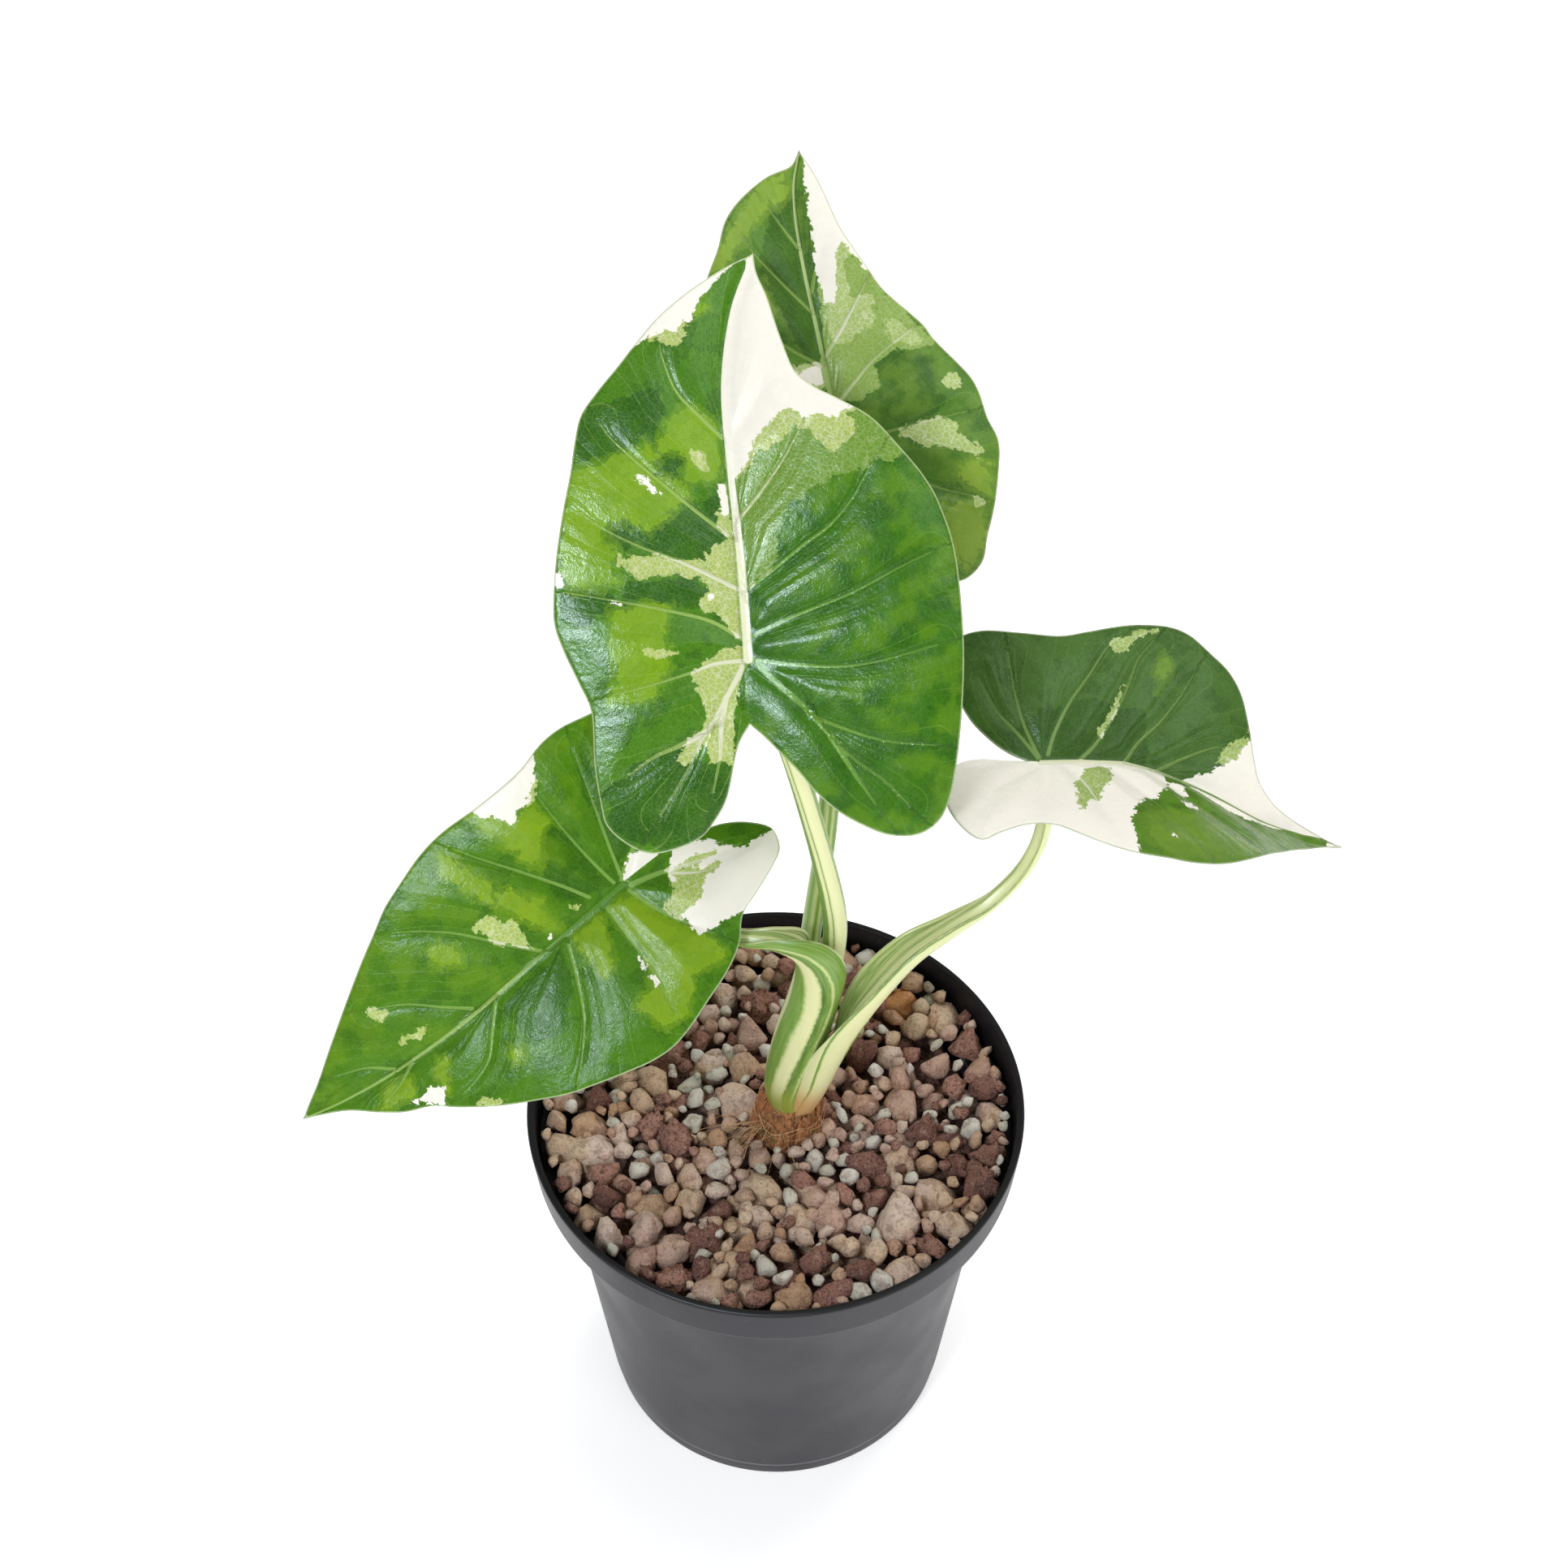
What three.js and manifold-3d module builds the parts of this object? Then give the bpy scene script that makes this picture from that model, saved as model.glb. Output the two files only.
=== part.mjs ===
// A potted variegated alocasia: a nursery pot filled with mineral grit, a corm, four leaf stalks
// with clasping sheaths, and four arched blades. Sizes are in millimetres, +Z is up, the origin is
// the centre of the pot's base on the ground, and the front is towards -Y.

import * as THREE from 'three';
import Module from 'manifold-3d';

const wasm = await Module();
wasm.setup();

// Clearance between pieces that touch, and a little more under a blade, where its rib is steep.
const CLEARANCE = 0.3;
const SEAT_CLEARANCE = 0.45;

// Pot: a tapered wall with a wider band at the rim, a foot ring and a flat pad under the floor.
const POT_HEIGHT = 102;
const POT_WALL = 1.6;
const RIM_RADIUS = 60;
const RIM_LIP = 2.4;
const RIM_BEVEL = 0.6;
const BAND_FOOT_RADIUS = 59;
const BAND_HEIGHT = 11.5;
const BAND_SHOULDER = 1;
const NECK_RADIUS = 52.8;
const BASE_RADIUS = 43.4;
const FOOT_WIDTH = 4;
const FLOOR_RAISE = 2.5;
const PAD_RADIUS = 15;
const DRAIN_HOLES = 8;
const DRAIN_RADIUS = 4;
const DRAIN_RING = 27;
const DRAIN_SIDES = 10;
const POT_SIDES = 44;

// Grit: a filled body with low-poly stones sunk into its top.
const GRIT_LEVEL = 92.6;
const STONE_SPACING = 10.8;
const STONE_RADIUS = { smallest: 3.8, largest: 6.8 };
const STONE_WIDTH = { smallest: 0.75, largest: 1 };
const STONE_FLATTEN = 0.72;
const STONE_LIFT = { smallest: 0.1, largest: 0.35 };
const STONE_TILT = 20;
const STONE_JITTER = 1.2;
const STONE_SEED = 27;
const WALL_STONE_RADIUS = 3.2;

// Corm: its centre line leans to the right above the grit.
const CORM_SIDES = 16;
const CORM_FOOT = 70;
const CORM_PROFILE = [[3, CORM_FOOT], [7.5, 78], [9.8, 88], [10.8, 94.5], [10, 99.5], [8.6, 104], [6.8, 108]];
const CORM_CENTRE = { x: 1.5, y: -1.6 };
const CORM_DEPTH = 0.88;
const CORM_LEAN = 0.2;
const CORM_RIDGES = { count: 5, depth: 0.05, twist: 0.3 };

// Blades.
const BLADE_THICKNESS = 0.8;
const MIDRIB_NODES = 13;
const COSTA_NODES = 6;
const SEAM_NODES = 2;
const MARGIN_SAMPLES = 240;
const BLADE_LEVELS = [0, 0.06, 0.3, 0.58, 0.84, 1];
const VEIN_LAG = 0.42;
const COSTA_REACH = 0.72;
const LOBE_SHARE = 0.45;
const RIB_DEPTH = 1.5;
const RIB_END = 0.1;
const RIB_REACH = { midrib: 1.05, costa: 0.75 };
const QUILT_DEPTH = 0.22;

// Stalks.
const STALK_RING = 8;
const STALK_STEPS = 18;
const STALK_FILLING = 1.8;

const POT_COLOUR = 0x2b2b2d;
const GRIT_COLOUR = 0x9a7a64;
const CORM_COLOUR = 0x7d5233;
const STALK_COLOUR = 0xa9b875;
const LEAF_COLOUR = 0x4f8a2c;

const degrees = THREE.MathUtils.degToRad;

// Each blade lies along its own x axis, from the stalk's attachment to the tip, with y to the left.
// Its midrib is given flat, as (along, to the left). Outlines are given as (along, distance from the
// midrib, less than 0 to the right), from the sinus round the back lobe to the tip.
const LEAVES = [
  {
    name: 'leaf_front', at: [-5.3, 8, 242], yaw: 92, pitch: 46, roll: 0,
    length: 84, archTip: 14, archLobe: 14, foldLeft: 14, foldRight: 14, curl: 0.45,
    ripple: 0.7, ripples: 3, sinus: -13.4,
    midrib: [[0, 0], [20, 1], [38, 2.6], [56, 3.6], [72, 1.6], [84.5, -2.3]],
    left: [[-18, 2.6], [-28, 5], [-33, 7.8], [-36.6, 11.4], [-38.8, 19.4], [-37.4, 24.6], [-33, 29.7],
      [-28, 31.1], [-20, 32.1], [-10, 32.4], [-4, 34.8], [2, 37.4], [8, 39], [15, 38.5], [22, 37.3],
      [30, 35.2], [38, 32.8], [45, 31.3], [50, 29.7], [55, 25.9], [60, 21.9], [65, 18.3], [70, 14.2],
      [75, 9.4], [80, 4.8]],
    right: [[-16, -3.1], [-19, -6.1], [-23, -10], [-27, -13.3], [-31, -17.8], [-34, -22.8], [-36.2, -28],
      [-36.6, -33.3], [-35, -37.2], [-31.5, -40], [-24, -42], [-10, -43.6], [4, -44.3], [20, -44],
      [30, -42], [36, -39.3], [42, -34.8], [48, -29.6], [52, -23.3], [55, -18.3], [58.5, -14.4],
      [65, -11.1], [70, -8.9], [75, -6.1], [80, -2.3]],
  },
  {
    name: 'leaf_rear', at: [14.4, 54.7, 255.8], yaw: 103, pitch: 46, roll: 4,
    length: 73, archTip: 14, archLobe: 14, foldLeft: 14, foldRight: 14, curl: 0.45,
    ripple: 0.6, ripples: 3, sinus: -11,
    midrib: [[0, 0], [22, 0.6], [44, 1.2], [58.5, 0], [67.8, -3.3]],
    left: [[-17, 4], [-26, 10], [-30, 19], [-26.5, 27], [-16, 32], [-2, 35], [12, 34.6], [26, 30],
      [36, 25], [42, 21.7], [47, 18.9], [52.6, 16.7], [57, 12.8], [61.4, 7.2], [64, 1.7]],
    right: [[-17, -5], [-26, -13], [-28.9, -21.7], [-25.8, -27.2], [-20.2, -29.1], [-14.7, -31.1],
      [-8, -32.8], [-1.3, -33.9], [4.2, -32.4], [9.8, -31.7], [14.2, -30], [22, -24.4], [25.9, -22.2],
      [33.7, -15.6], [39.8, -12.8], [47.6, -9.4], [52.6, -7.8], [57.6, -6.4], [61.4, -4.4], [65.3, -1.7]],
  },
  {
    name: 'leaf_left', at: [-33.6, 4, 176.6], yaw: 213.5, pitch: -19.7, roll: -35.9,
    length: 88, archTip: 26.1, archLobe: 14, foldLeft: 11.3, foldRight: 11.9, curl: 0.3,
    ripple: 0.7, ripples: 3, sinus: -13,
    midrib: [[0, 0], [22, 1.2], [46, 2.6], [66, 2], [80, 0.2], [91.9, -2.3]],
    left: [[-17, 0.8], [-23, 1.7], [-27.4, 3.6], [-31.3, 6.7], [-33.9, 10.6], [-32.4, 15], [-28.6, 17.2],
      [-22, 19.6], [-16.3, 21.7], [-11.9, 26.2], [-6.3, 29.4], [1.4, 32], [7, 33.6], [12.6, 34.5],
      [18.1, 33.9], [24.2, 32], [30.3, 29.8], [37, 27.2], [43.7, 23.6], [51, 19.8], [58.7, 15],
      [63.7, 11.2], [69.8, 9], [75, 6], [81.4, 2.2]],
    right: [[-22, -3], [-32, -9], [-37, -18], [-34, -27.5], [-25.5, -32.8], [-16.3, -34.7], [-9.7, -36],
      [-4.1, -35.8], [2.6, -34.2], [9.2, -34], [15.9, -34.3], [24, -35], [31, -34.4], [39.2, -32.2],
      [44.2, -30.6], [49.2, -27.8], [55.3, -24.4], [64.8, -18.9], [74.8, -12.2], [83, -6.2]],
  },
  {
    name: 'leaf_right', at: [57.8, 16, 203], yaw: -1.7, pitch: -5.7, roll: 4.4,
    length: 72, archTip: 33, archLobe: 14, foldLeft: 27.6, foldRight: 27, curl: 0.2,
    ripple: 0.6, ripples: 3, sinus: -3,
    midrib: [[0, 0], [12, 2], [22, 3], [38, 0.6], [52, -2], [64, -1], [77.6, 2.6]],
    left: [[-7, 1.6], [-11, 4.4], [-15.5, 9], [-18.6, 15], [-20, 21.5], [-18.5, 26.5], [-13.6, 28.7],
      [-6, 28.9], [2, 29], [8, 30.2], [13, 31.5], [18, 32.6], [24, 33.4], [29, 33.2], [34.2, 30.6],
      [38.7, 28.3], [42.4, 24.6], [45.6, 18.5], [48, 12.8], [50.5, 8.2], [55, 4.6], [62, 2.2], [70, 0.8]],
    right: [[-8, -0.8], [-14, -1.2], [-18.5, -4.5], [-20.5, -13], [-20.4, -22], [-17.6, -31],
      [-14.1, -36.1], [-10.2, -33.3], [-5, -30], [0, -29.4], [4.2, -32.6], [8.7, -36], [14, -38.4],
      [20, -39], [26, -38.2], [33.1, -34.4], [40, -28], [48, -18.8], [56, -11], [63, -6], [70, -2.7]],
  },
];

// Each stalk is a row of stations from its foot to the blade: where its keel runs, which way its
// open side faces, the radius of its outer curve, how far it wraps to the left and right in
// degrees, and how thick it is at the keel and at its edges.
const STALKS = [
  {
    name: 'petiole_right', leaf: 'leaf_right',
    stations: [
      { at: [6.4, -5, 104], face: [-0.5, 0.8, 0.2], radius: 4.2, wrap: [80, 100], keel: 3.2, edge: 0.9 },
      { at: [9.2, -6, 113], face: [-0.5, 0.8, 0.3], radius: 4.5, wrap: [90, 100], keel: 3.6, edge: 0.9 },
      { at: [13.1, -6, 125.6], face: [-0.6, 0.7, 0.4], radius: 4.8, wrap: [105, 95], keel: 4, edge: 0.8 },
      { at: [17.8, -5, 137], face: [-0.7, 0.5, 0.5], radius: 5, wrap: [120, 85], keel: 4.2, edge: 0.8 },
      { at: [23.8, -3, 148], face: [-0.7, 0.3, 0.65], radius: 4.8, wrap: [128, 80], keel: 4.3, edge: 0.8 },
      { at: [31.2, 0.4, 156.8], face: [-0.6, 0.2, 0.8], radius: 4, wrap: [128, 90], keel: 4.3, edge: 0.8 },
      { at: [39.9, 4.5, 161.4], face: [-0.4, 0.1, 0.9], radius: 2.9, wrap: [125, 105], keel: 4.2, edge: 0.9 },
      { at: [48.8, 8.5, 166], face: [-0.5, 0, 0.85], radius: 2.4, wrap: [90, 90], keel: 4, edge: 0.4 },
      { at: [56.5, 12, 174.8], face: [-0.8, 0, 0.6], radius: 2.2, wrap: [90, 90], keel: 3.7, edge: 0.4 },
      { at: [59.6, 14, 187], face: [-1, 0, 0.1], radius: 2.1, wrap: [90, 90], keel: 3.6, edge: 0.4 },
      { at: [57.8, 16, 201.8], face: [-1, 0, -0.1], radius: 2, wrap: [90, 90], keel: 3.4, edge: 0.4 },
    ],
  },
  {
    name: 'petiole_left', leaf: 'leaf_left',
    stations: [
      { at: [0.4, -3.4, 104], face: [0.9, 0.35, 0.1], radius: 5, wrap: [120, 80], keel: 3, edge: 0.9 },
      { at: [-0.8, -3.6, 114], face: [0.9, 0.35, 0], radius: 5.6, wrap: [130, 80], keel: 3.3, edge: 0.9 },
      { at: [2, -3.6, 130], face: [0.85, 0.45, 0], radius: 6.2, wrap: [142, 75], keel: 3.5, edge: 0.8 },
      { at: [5.6, -3.2, 145], face: [0.85, 0.5, 0.1], radius: 6, wrap: [150, 70], keel: 3.8, edge: 0.8 },
      { at: [6.8, -2.8, 154.6], face: [0.85, 0.35, 0.4], radius: 5.8, wrap: [150, 75], keel: 4, edge: 0.8 },
      { at: [5.4, -2.6, 161], face: [0.6, 0.2, 0.8], radius: 4.9, wrap: [146, 90], keel: 4, edge: 0.8 },
      { at: [0.2, -2.2, 164.4], face: [0.1, 0.1, 1], radius: 3, wrap: [128, 110], keel: 4, edge: 0.9 },
      { at: [-9, -1, 164.8], face: [0, 0, 1], radius: 2.3, wrap: [90, 90], keel: 3.9, edge: 0.4 },
      { at: [-21, 1.6, 167.8], face: [0.3, 0, 0.95], radius: 2.15, wrap: [90, 90], keel: 3.6, edge: 0.4 },
      { at: [-33.2, 5.2, 174.6], face: [0.4, 0, 0.9], radius: 2, wrap: [90, 90], keel: 3.3, edge: 0.4 },
    ],
  },
  {
    name: 'petiole_front', leaf: 'leaf_front',
    stations: [
      { at: [6.4, -0.8, 104], face: [0, 1, 0], radius: 2.5, wrap: [90, 90], keel: 3.6, edge: 0.4 },
      { at: [8.6, 0.6, 122], face: [-0.2, 1, 0], radius: 2.8, wrap: [90, 90], keel: 4, edge: 0.4 },
      { at: [12, 2.4, 144], face: [-0.3, 1, 0], radius: 3, wrap: [90, 90], keel: 4.2, edge: 0.4 },
      { at: [13.6, 3.4, 164], face: [-0.3, 1, 0], radius: 2.8, wrap: [90, 90], keel: 4.4, edge: 0.4 },
      { at: [10.2, 4.5, 186], face: [-0.2, 1, 0], radius: 2.5, wrap: [90, 90], keel: 4.2, edge: 0.4 },
      { at: [4.4, 6.3, 211.9], face: [0, 1, 0], radius: 2.35, wrap: [90, 90], keel: 4, edge: 0.4 },
      { at: [-0.9, 7.2, 229.4], face: [0, 1, 0.2], radius: 2.15, wrap: [90, 90], keel: 3.6, edge: 0.4 },
      { at: [-5, 8.4, 240.8], face: [0, 1, 0.3], radius: 2, wrap: [90, 90], keel: 3.4, edge: 0.4 },
    ],
  },
  {
    name: 'petiole_rear', leaf: 'leaf_rear',
    stations: [
      { at: [3.8, 2.6, 104], face: [0, 1, 0], radius: 2.4, wrap: [90, 90], keel: 3.8, edge: 0.4 },
      { at: [6, 5.8, 128], face: [0, 1, 0], radius: 2.5, wrap: [90, 90], keel: 4.1, edge: 0.4 },
      { at: [8.2, 9.6, 153], face: [0, 1, 0], radius: 2.4, wrap: [90, 90], keel: 4.1, edge: 0.4 },
      { at: [11.9, 18, 185.7], face: [0, 1, -0.2], radius: 2.3, wrap: [90, 90], keel: 4, edge: 0.4 },
      { at: [13.4, 36.4, 221.6], face: [0, 1, -0.3], radius: 2.15, wrap: [90, 90], keel: 3.7, edge: 0.4 },
      { at: [14.5, 54.5, 254.4], face: [0, 1, -0.3], radius: 1.95, wrap: [90, 90], keel: 3.3, edge: 0.4 },
    ],
  },
];

function material(colour, roughness) {
  return new THREE.MeshStandardMaterial({ color: colour, roughness, metalness: 0 });
}

// Small seeded generator, so that each build places the same stones.
function randomSource(seed) {
  let state = seed >>> 0;
  return () => {
    state = (state + 0x6d2b79f5) >>> 0;
    let mixed = Math.imul(state ^ (state >>> 15), 1 | state);
    mixed = (mixed + Math.imul(mixed ^ (mixed >>> 7), 61 | mixed)) ^ mixed;
    return ((mixed ^ (mixed >>> 14)) >>> 0) / 4294967296;
  };
}

// Joins triangles, given as triples of points, into one indexed surface without slivers.
function weld(triangles) {
  const ids = new Map();
  const positions = [];
  const faces = [];
  const idOf = (point) => {
    const key = point.toArray().map((value) => Math.round(value * 1e4)).join();
    if (!ids.has(key)) {
      ids.set(key, ids.size);
      positions.push(point.x, point.y, point.z);
    }
    return ids.get(key);
  };
  for (const corners of triangles) {
    const [a, b, c] = corners.map(idOf);
    if (a !== b && b !== c && c !== a) faces.push(a, b, c);
  }
  const geometry = new THREE.BufferGeometry();
  geometry.setAttribute('position', new THREE.Float32BufferAttribute(positions, 3));
  geometry.setIndex(faces);
  return geometry;
}

function solidOf(triangles) {
  const welded = weld(triangles);
  return new wasm.Manifold(new wasm.Mesh({
    numProp: 3,
    vertProperties: new Float32Array(welded.getAttribute('position').array),
    triVerts: new Uint32Array(welded.index.array),
  }));
}

function toSolid(geometry) {
  const positions = (geometry.index ? geometry.toNonIndexed() : geometry).getAttribute('position');
  const cornerAt = (i) => new THREE.Vector3().fromBufferAttribute(positions, i);
  const triangles = [];
  for (let i = 0; i < positions.count; i += 3) {
    triangles.push([cornerAt(i), cornerAt(i + 1), cornerAt(i + 2)]);
  }
  return solidOf(triangles);
}

function toGeometry(solid) {
  const mesh = solid.getMesh();
  const geometry = new THREE.BufferGeometry();
  geometry.setAttribute('position', new THREE.BufferAttribute(mesh.vertProperties, 3));
  geometry.setIndex(new THREE.BufferAttribute(mesh.triVerts, 1));
  return geometry;
}

// A cut can leave scraps: only the biggest body is kept.
function biggestBody(solid) {
  const bodies = solid.decompose();
  return bodies.reduce((best, body) => (body.volume() > best.volume() ? body : best));
}

// A turned solid about the Z axis from a closed or axis-to-axis profile of [radius, height].
function turned(profile, sides) {
  const points = profile.map(([radius, height]) => new THREE.Vector2(radius, height));
  const geometry = new THREE.LatheGeometry(points, sides);
  geometry.rotateX(Math.PI / 2);
  return geometry;
}

// A cutter for one drain hole, through the floor and past it on both sides.
function drill(x, y, length) {
  const geometry = new THREE.CylinderGeometry(DRAIN_RADIUS, DRAIN_RADIUS, length, DRAIN_SIDES);
  geometry.rotateX(Math.PI / 2);
  geometry.translate(x, y, (FLOOR_RAISE + POT_WALL) / 2);
  return toSolid(geometry);
}

function potProfile() {
  const bandFoot = POT_HEIGHT - BAND_HEIGHT;
  const footInner = BASE_RADIUS - FOOT_WIDTH;
  return [
    [0, 0],
    [PAD_RADIUS, 0],
    [PAD_RADIUS + FLOOR_RAISE, FLOOR_RAISE],
    [footInner - FLOOR_RAISE, FLOOR_RAISE],
    [footInner, 0],
    [BASE_RADIUS, 0],
    [NECK_RADIUS, bandFoot - BAND_SHOULDER],
    [BAND_FOOT_RADIUS, bandFoot],
    [RIM_RADIUS, POT_HEIGHT - RIM_BEVEL],
    [RIM_RADIUS - RIM_BEVEL, POT_HEIGHT],
    [RIM_RADIUS - RIM_LIP, POT_HEIGHT],
    [BAND_FOOT_RADIUS - POT_WALL, bandFoot + BAND_SHOULDER],
    [NECK_RADIUS - POT_WALL, bandFoot],
    [BASE_RADIUS - POT_WALL, FLOOR_RAISE + POT_WALL],
    [0, FLOOR_RAISE + POT_WALL],
  ];
}

function pot() {
  let solid = toSolid(turned(potProfile(), POT_SIDES));
  for (let i = 0; i < DRAIN_HOLES; i += 1) {
    const angle = (i + 0.5) * 2 * Math.PI / DRAIN_HOLES;
    const x = DRAIN_RING * Math.cos(angle);
    const y = DRAIN_RING * Math.sin(angle);
    solid = solid.subtract(drill(x, y, 2 * (FLOOR_RAISE + POT_WALL)));
  }
  return solid;
}

// The corm, grown by a clearance where it is used to cut its hole.
function corm(grow) {
  const profile = CORM_PROFILE.map(([radius, height], i) => [radius + grow, height - (i ? 0 : grow)]);
  const foot = [0, CORM_FOOT - grow];
  const top = [0, CORM_PROFILE.at(-1)[1] + grow];
  const geometry = turned([foot, ...profile, top], CORM_SIDES);
  const positions = geometry.getAttribute('position');
  for (let i = 0; i < positions.count; i += 1) {
    const angle = Math.atan2(positions.getY(i), positions.getX(i));
    const height = positions.getZ(i);
    const wave = Math.sin(CORM_RIDGES.count * angle + CORM_RIDGES.twist * height);
    const ridge = 1 + CORM_RIDGES.depth * wave;
    const lean = Math.max(0, height - GRIT_LEVEL) * CORM_LEAN;
    positions.setX(i, positions.getX(i) * ridge + CORM_CENTRE.x + lean);
    positions.setY(i, positions.getY(i) * ridge * CORM_DEPTH + CORM_CENTRE.y);
  }
  return toSolid(geometry);
}

function pick(random, range) {
  return THREE.MathUtils.lerp(range.smallest, range.largest, random());
}

function spread(random, reach) {
  return reach * (2 * random() - 1);
}

function stoneAt(random, x, y, radius) {
  const geometry = new THREE.IcosahedronGeometry(radius, 0);
  geometry.scale(1, pick(random, STONE_WIDTH), STONE_FLATTEN);
  geometry.rotateX(degrees(spread(random, STONE_TILT)));
  geometry.rotateZ(spread(random, Math.PI));
  geometry.translate(x, y, GRIT_LEVEL + radius * pick(random, STONE_LIFT));
  return toSolid(geometry);
}

// Stones stand on a jittered triangular grid, and get smaller where the wall leaves less room.
function stonePlaces(random) {
  const places = [];
  const reach = BAND_FOOT_RADIUS - POT_WALL - 2 * CLEARANCE;
  const rowHeight = STONE_SPACING * Math.sqrt(3) / 2;
  const rows = Math.ceil(reach / rowHeight);
  for (let row = -rows; row <= rows; row += 1) {
    for (let column = -rows; column <= rows; column += 1) {
      const x = (column + (row % 2 ? 0.5 : 0)) * STONE_SPACING + spread(random, STONE_JITTER);
      const y = row * rowHeight + spread(random, STONE_JITTER);
      const radius = pick(random, STONE_RADIUS);
      const room = reach - Math.hypot(x, y);
      if (room > WALL_STONE_RADIUS) places.push([x, y, Math.min(radius, room)]);
    }
  }
  return places;
}

// The room inside the pot, up to a given height, clear of its walls and floor.
function potRoom(top) {
  const bandFoot = POT_HEIGHT - BAND_HEIGHT + 0.2;
  const side = POT_WALL + CLEARANCE + 0.1;
  const floor = FLOOR_RAISE + POT_WALL + CLEARANCE;
  return toSolid(turned([
    [0, floor],
    [BASE_RADIUS - side, floor],
    [NECK_RADIUS - side, bandFoot],
    [BAND_FOOT_RADIUS - side, bandFoot + BAND_SHOULDER],
    [BAND_FOOT_RADIUS - side, top],
    [0, top],
  ], POT_SIDES));
}

function gritBed() {
  const random = randomSource(STONE_SEED);
  let solid = potRoom(GRIT_LEVEL);
  for (const [x, y, radius] of stonePlaces(random)) solid = solid.add(stoneAt(random, x, y, radius));
  return solid.intersect(potRoom(POT_HEIGHT));
}

// The closed section of a stalk in its own plane, x to its right and y to its open side: the outer
// curve from left to right, then the inner face back.
function stalkSection(station) {
  const outer = [];
  const inner = [];
  const centre = station.radius - station.keel / 2;
  for (let i = 0; i < STALK_RING; i += 1) {
    const share = 2 * i / (STALK_RING - 1) - 1;
    const angle = share * degrees(station.wrap[share < 0 ? 0 : 1]);
    const filling = (station.keel - station.edge) * (1 - share * share) ** STALK_FILLING;
    const thin = station.radius - station.edge;
    const direction = new THREE.Vector2(Math.sin(angle), -Math.cos(angle));
    outer.push(direction.clone().multiplyScalar(station.radius).add(new THREE.Vector2(0, centre)));
    inner.push(direction.clone().multiplyScalar(thin).add(new THREE.Vector2(0, centre + filling)));
  }
  return [...outer, ...inner.toReversed()];
}

function edgeNormal(from, to) {
  return new THREE.Vector2(to.y - from.y, from.x - to.x).normalize();
}

function offsetLoop(points, distance) {
  return points.map((point, i) => {
    const before = edgeNormal(points.at(i - 1), point);
    const after = edgeNormal(point, points[(i + 1) % points.length]);
    const outward = before.clone().add(after).normalize();
    return point.clone().addScaledVector(outward, distance / Math.max(0.5, outward.dot(before)));
  });
}

function stalkRing(station, grow) {
  const { at, along } = station;
  const face = station.face.clone().addScaledVector(along, -station.face.dot(along)).normalize();
  const right = new THREE.Vector3().crossVectors(along, face);
  return offsetLoop(stalkSection(station), grow)
    .map(({ x, y }) => at.clone().addScaledVector(right, x).addScaledVector(face, y));
}

// Smooth stations along a stalk, each value running through the given ones.
function stalkStations(stations) {
  const curve = (values) => new THREE.CatmullRomCurve3(stations.map((s) => new THREE.Vector3(...values(s))));
  const path = curve((s) => s.at);
  const faces = curve((s) => s.face);
  const arc = curve((s) => [s.radius, ...s.wrap]);
  const depth = curve((s) => [s.keel, s.edge, 0]);
  return Array.from({ length: STALK_STEPS + 1 }, (_, i) => {
    const t = i / STALK_STEPS;
    const [radius, ...wrap] = arc.getPoint(t).toArray();
    const [keel, edge] = depth.getPoint(t).toArray();
    const [at, along, face] = [path.getPoint(t), path.getTangent(t), faces.getPoint(t).normalize()];
    return { at, along, face, radius, wrap, keel, edge };
  });
}

function quad(a, b, c, d) {
  return [[a, b, c], [a, c, d]];
}

function stalk(spec, grow) {
  const stations = stalkStations(spec.stations);
  stations[0].at.addScaledVector(stations[0].along, -grow);
  stations.at(-1).at.addScaledVector(stations.at(-1).along, grow);
  const rings = stations.map((station) => stalkRing(station, grow));
  const triangles = [];
  const sides = rings[0].length;
  for (let k = 0; k + 1 < rings.length; k += 1) {
    const [low, high] = [rings[k], rings[k + 1]];
    for (let i = 0; i < sides; i += 1) {
      const next = (i + 1) % sides;
      triangles.push(...quad(low[next], low[i], high[i], high[next]));
    }
  }
  for (let i = 0; i + 1 < STALK_RING; i += 1) {
    const [foot, end] = [rings[0], rings.at(-1)];
    const facing = sides - 1 - i;
    triangles.push(...quad(foot[i], foot[i + 1], foot[facing - 1], foot[facing]));
    triangles.push(...quad(end[facing], end[facing - 1], end[i + 1], end[i]));
  }
  return solidOf(triangles);
}

// A point of the blade, lifted from its middle surface. The midrib is arched along its length, and
// each half rises from the midrib at its fold angle and curls over towards its margin.
function bladePoint(leaf, along, across, lift) {
  const arch = along < 0
    ? degrees(leaf.archLobe) / (LOBE_SHARE * leaf.length)
    : degrees(leaf.archTip) / leaf.length;
  const turn = arch * along;
  const rib = midribAt(leaf, along);
  const side = across < rib ? -1 : 1;
  const fold = degrees(side < 0 ? leaf.foldRight : leaf.foldLeft);
  const curl = degrees(leaf.curl);
  const reach = Math.abs(across - rib);
  const sideways = (Math.sin(fold) - Math.sin(fold - curl * reach)) / curl;
  const rise = (Math.cos(fold - curl * reach) - Math.cos(fold)) / curl + lift;
  return new THREE.Vector3(
    Math.sin(turn) / arch + Math.sin(turn) * rise,
    rib + side * sideways,
    (Math.cos(turn) - 1) / arch + Math.cos(turn) * rise,
  );
}

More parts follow.
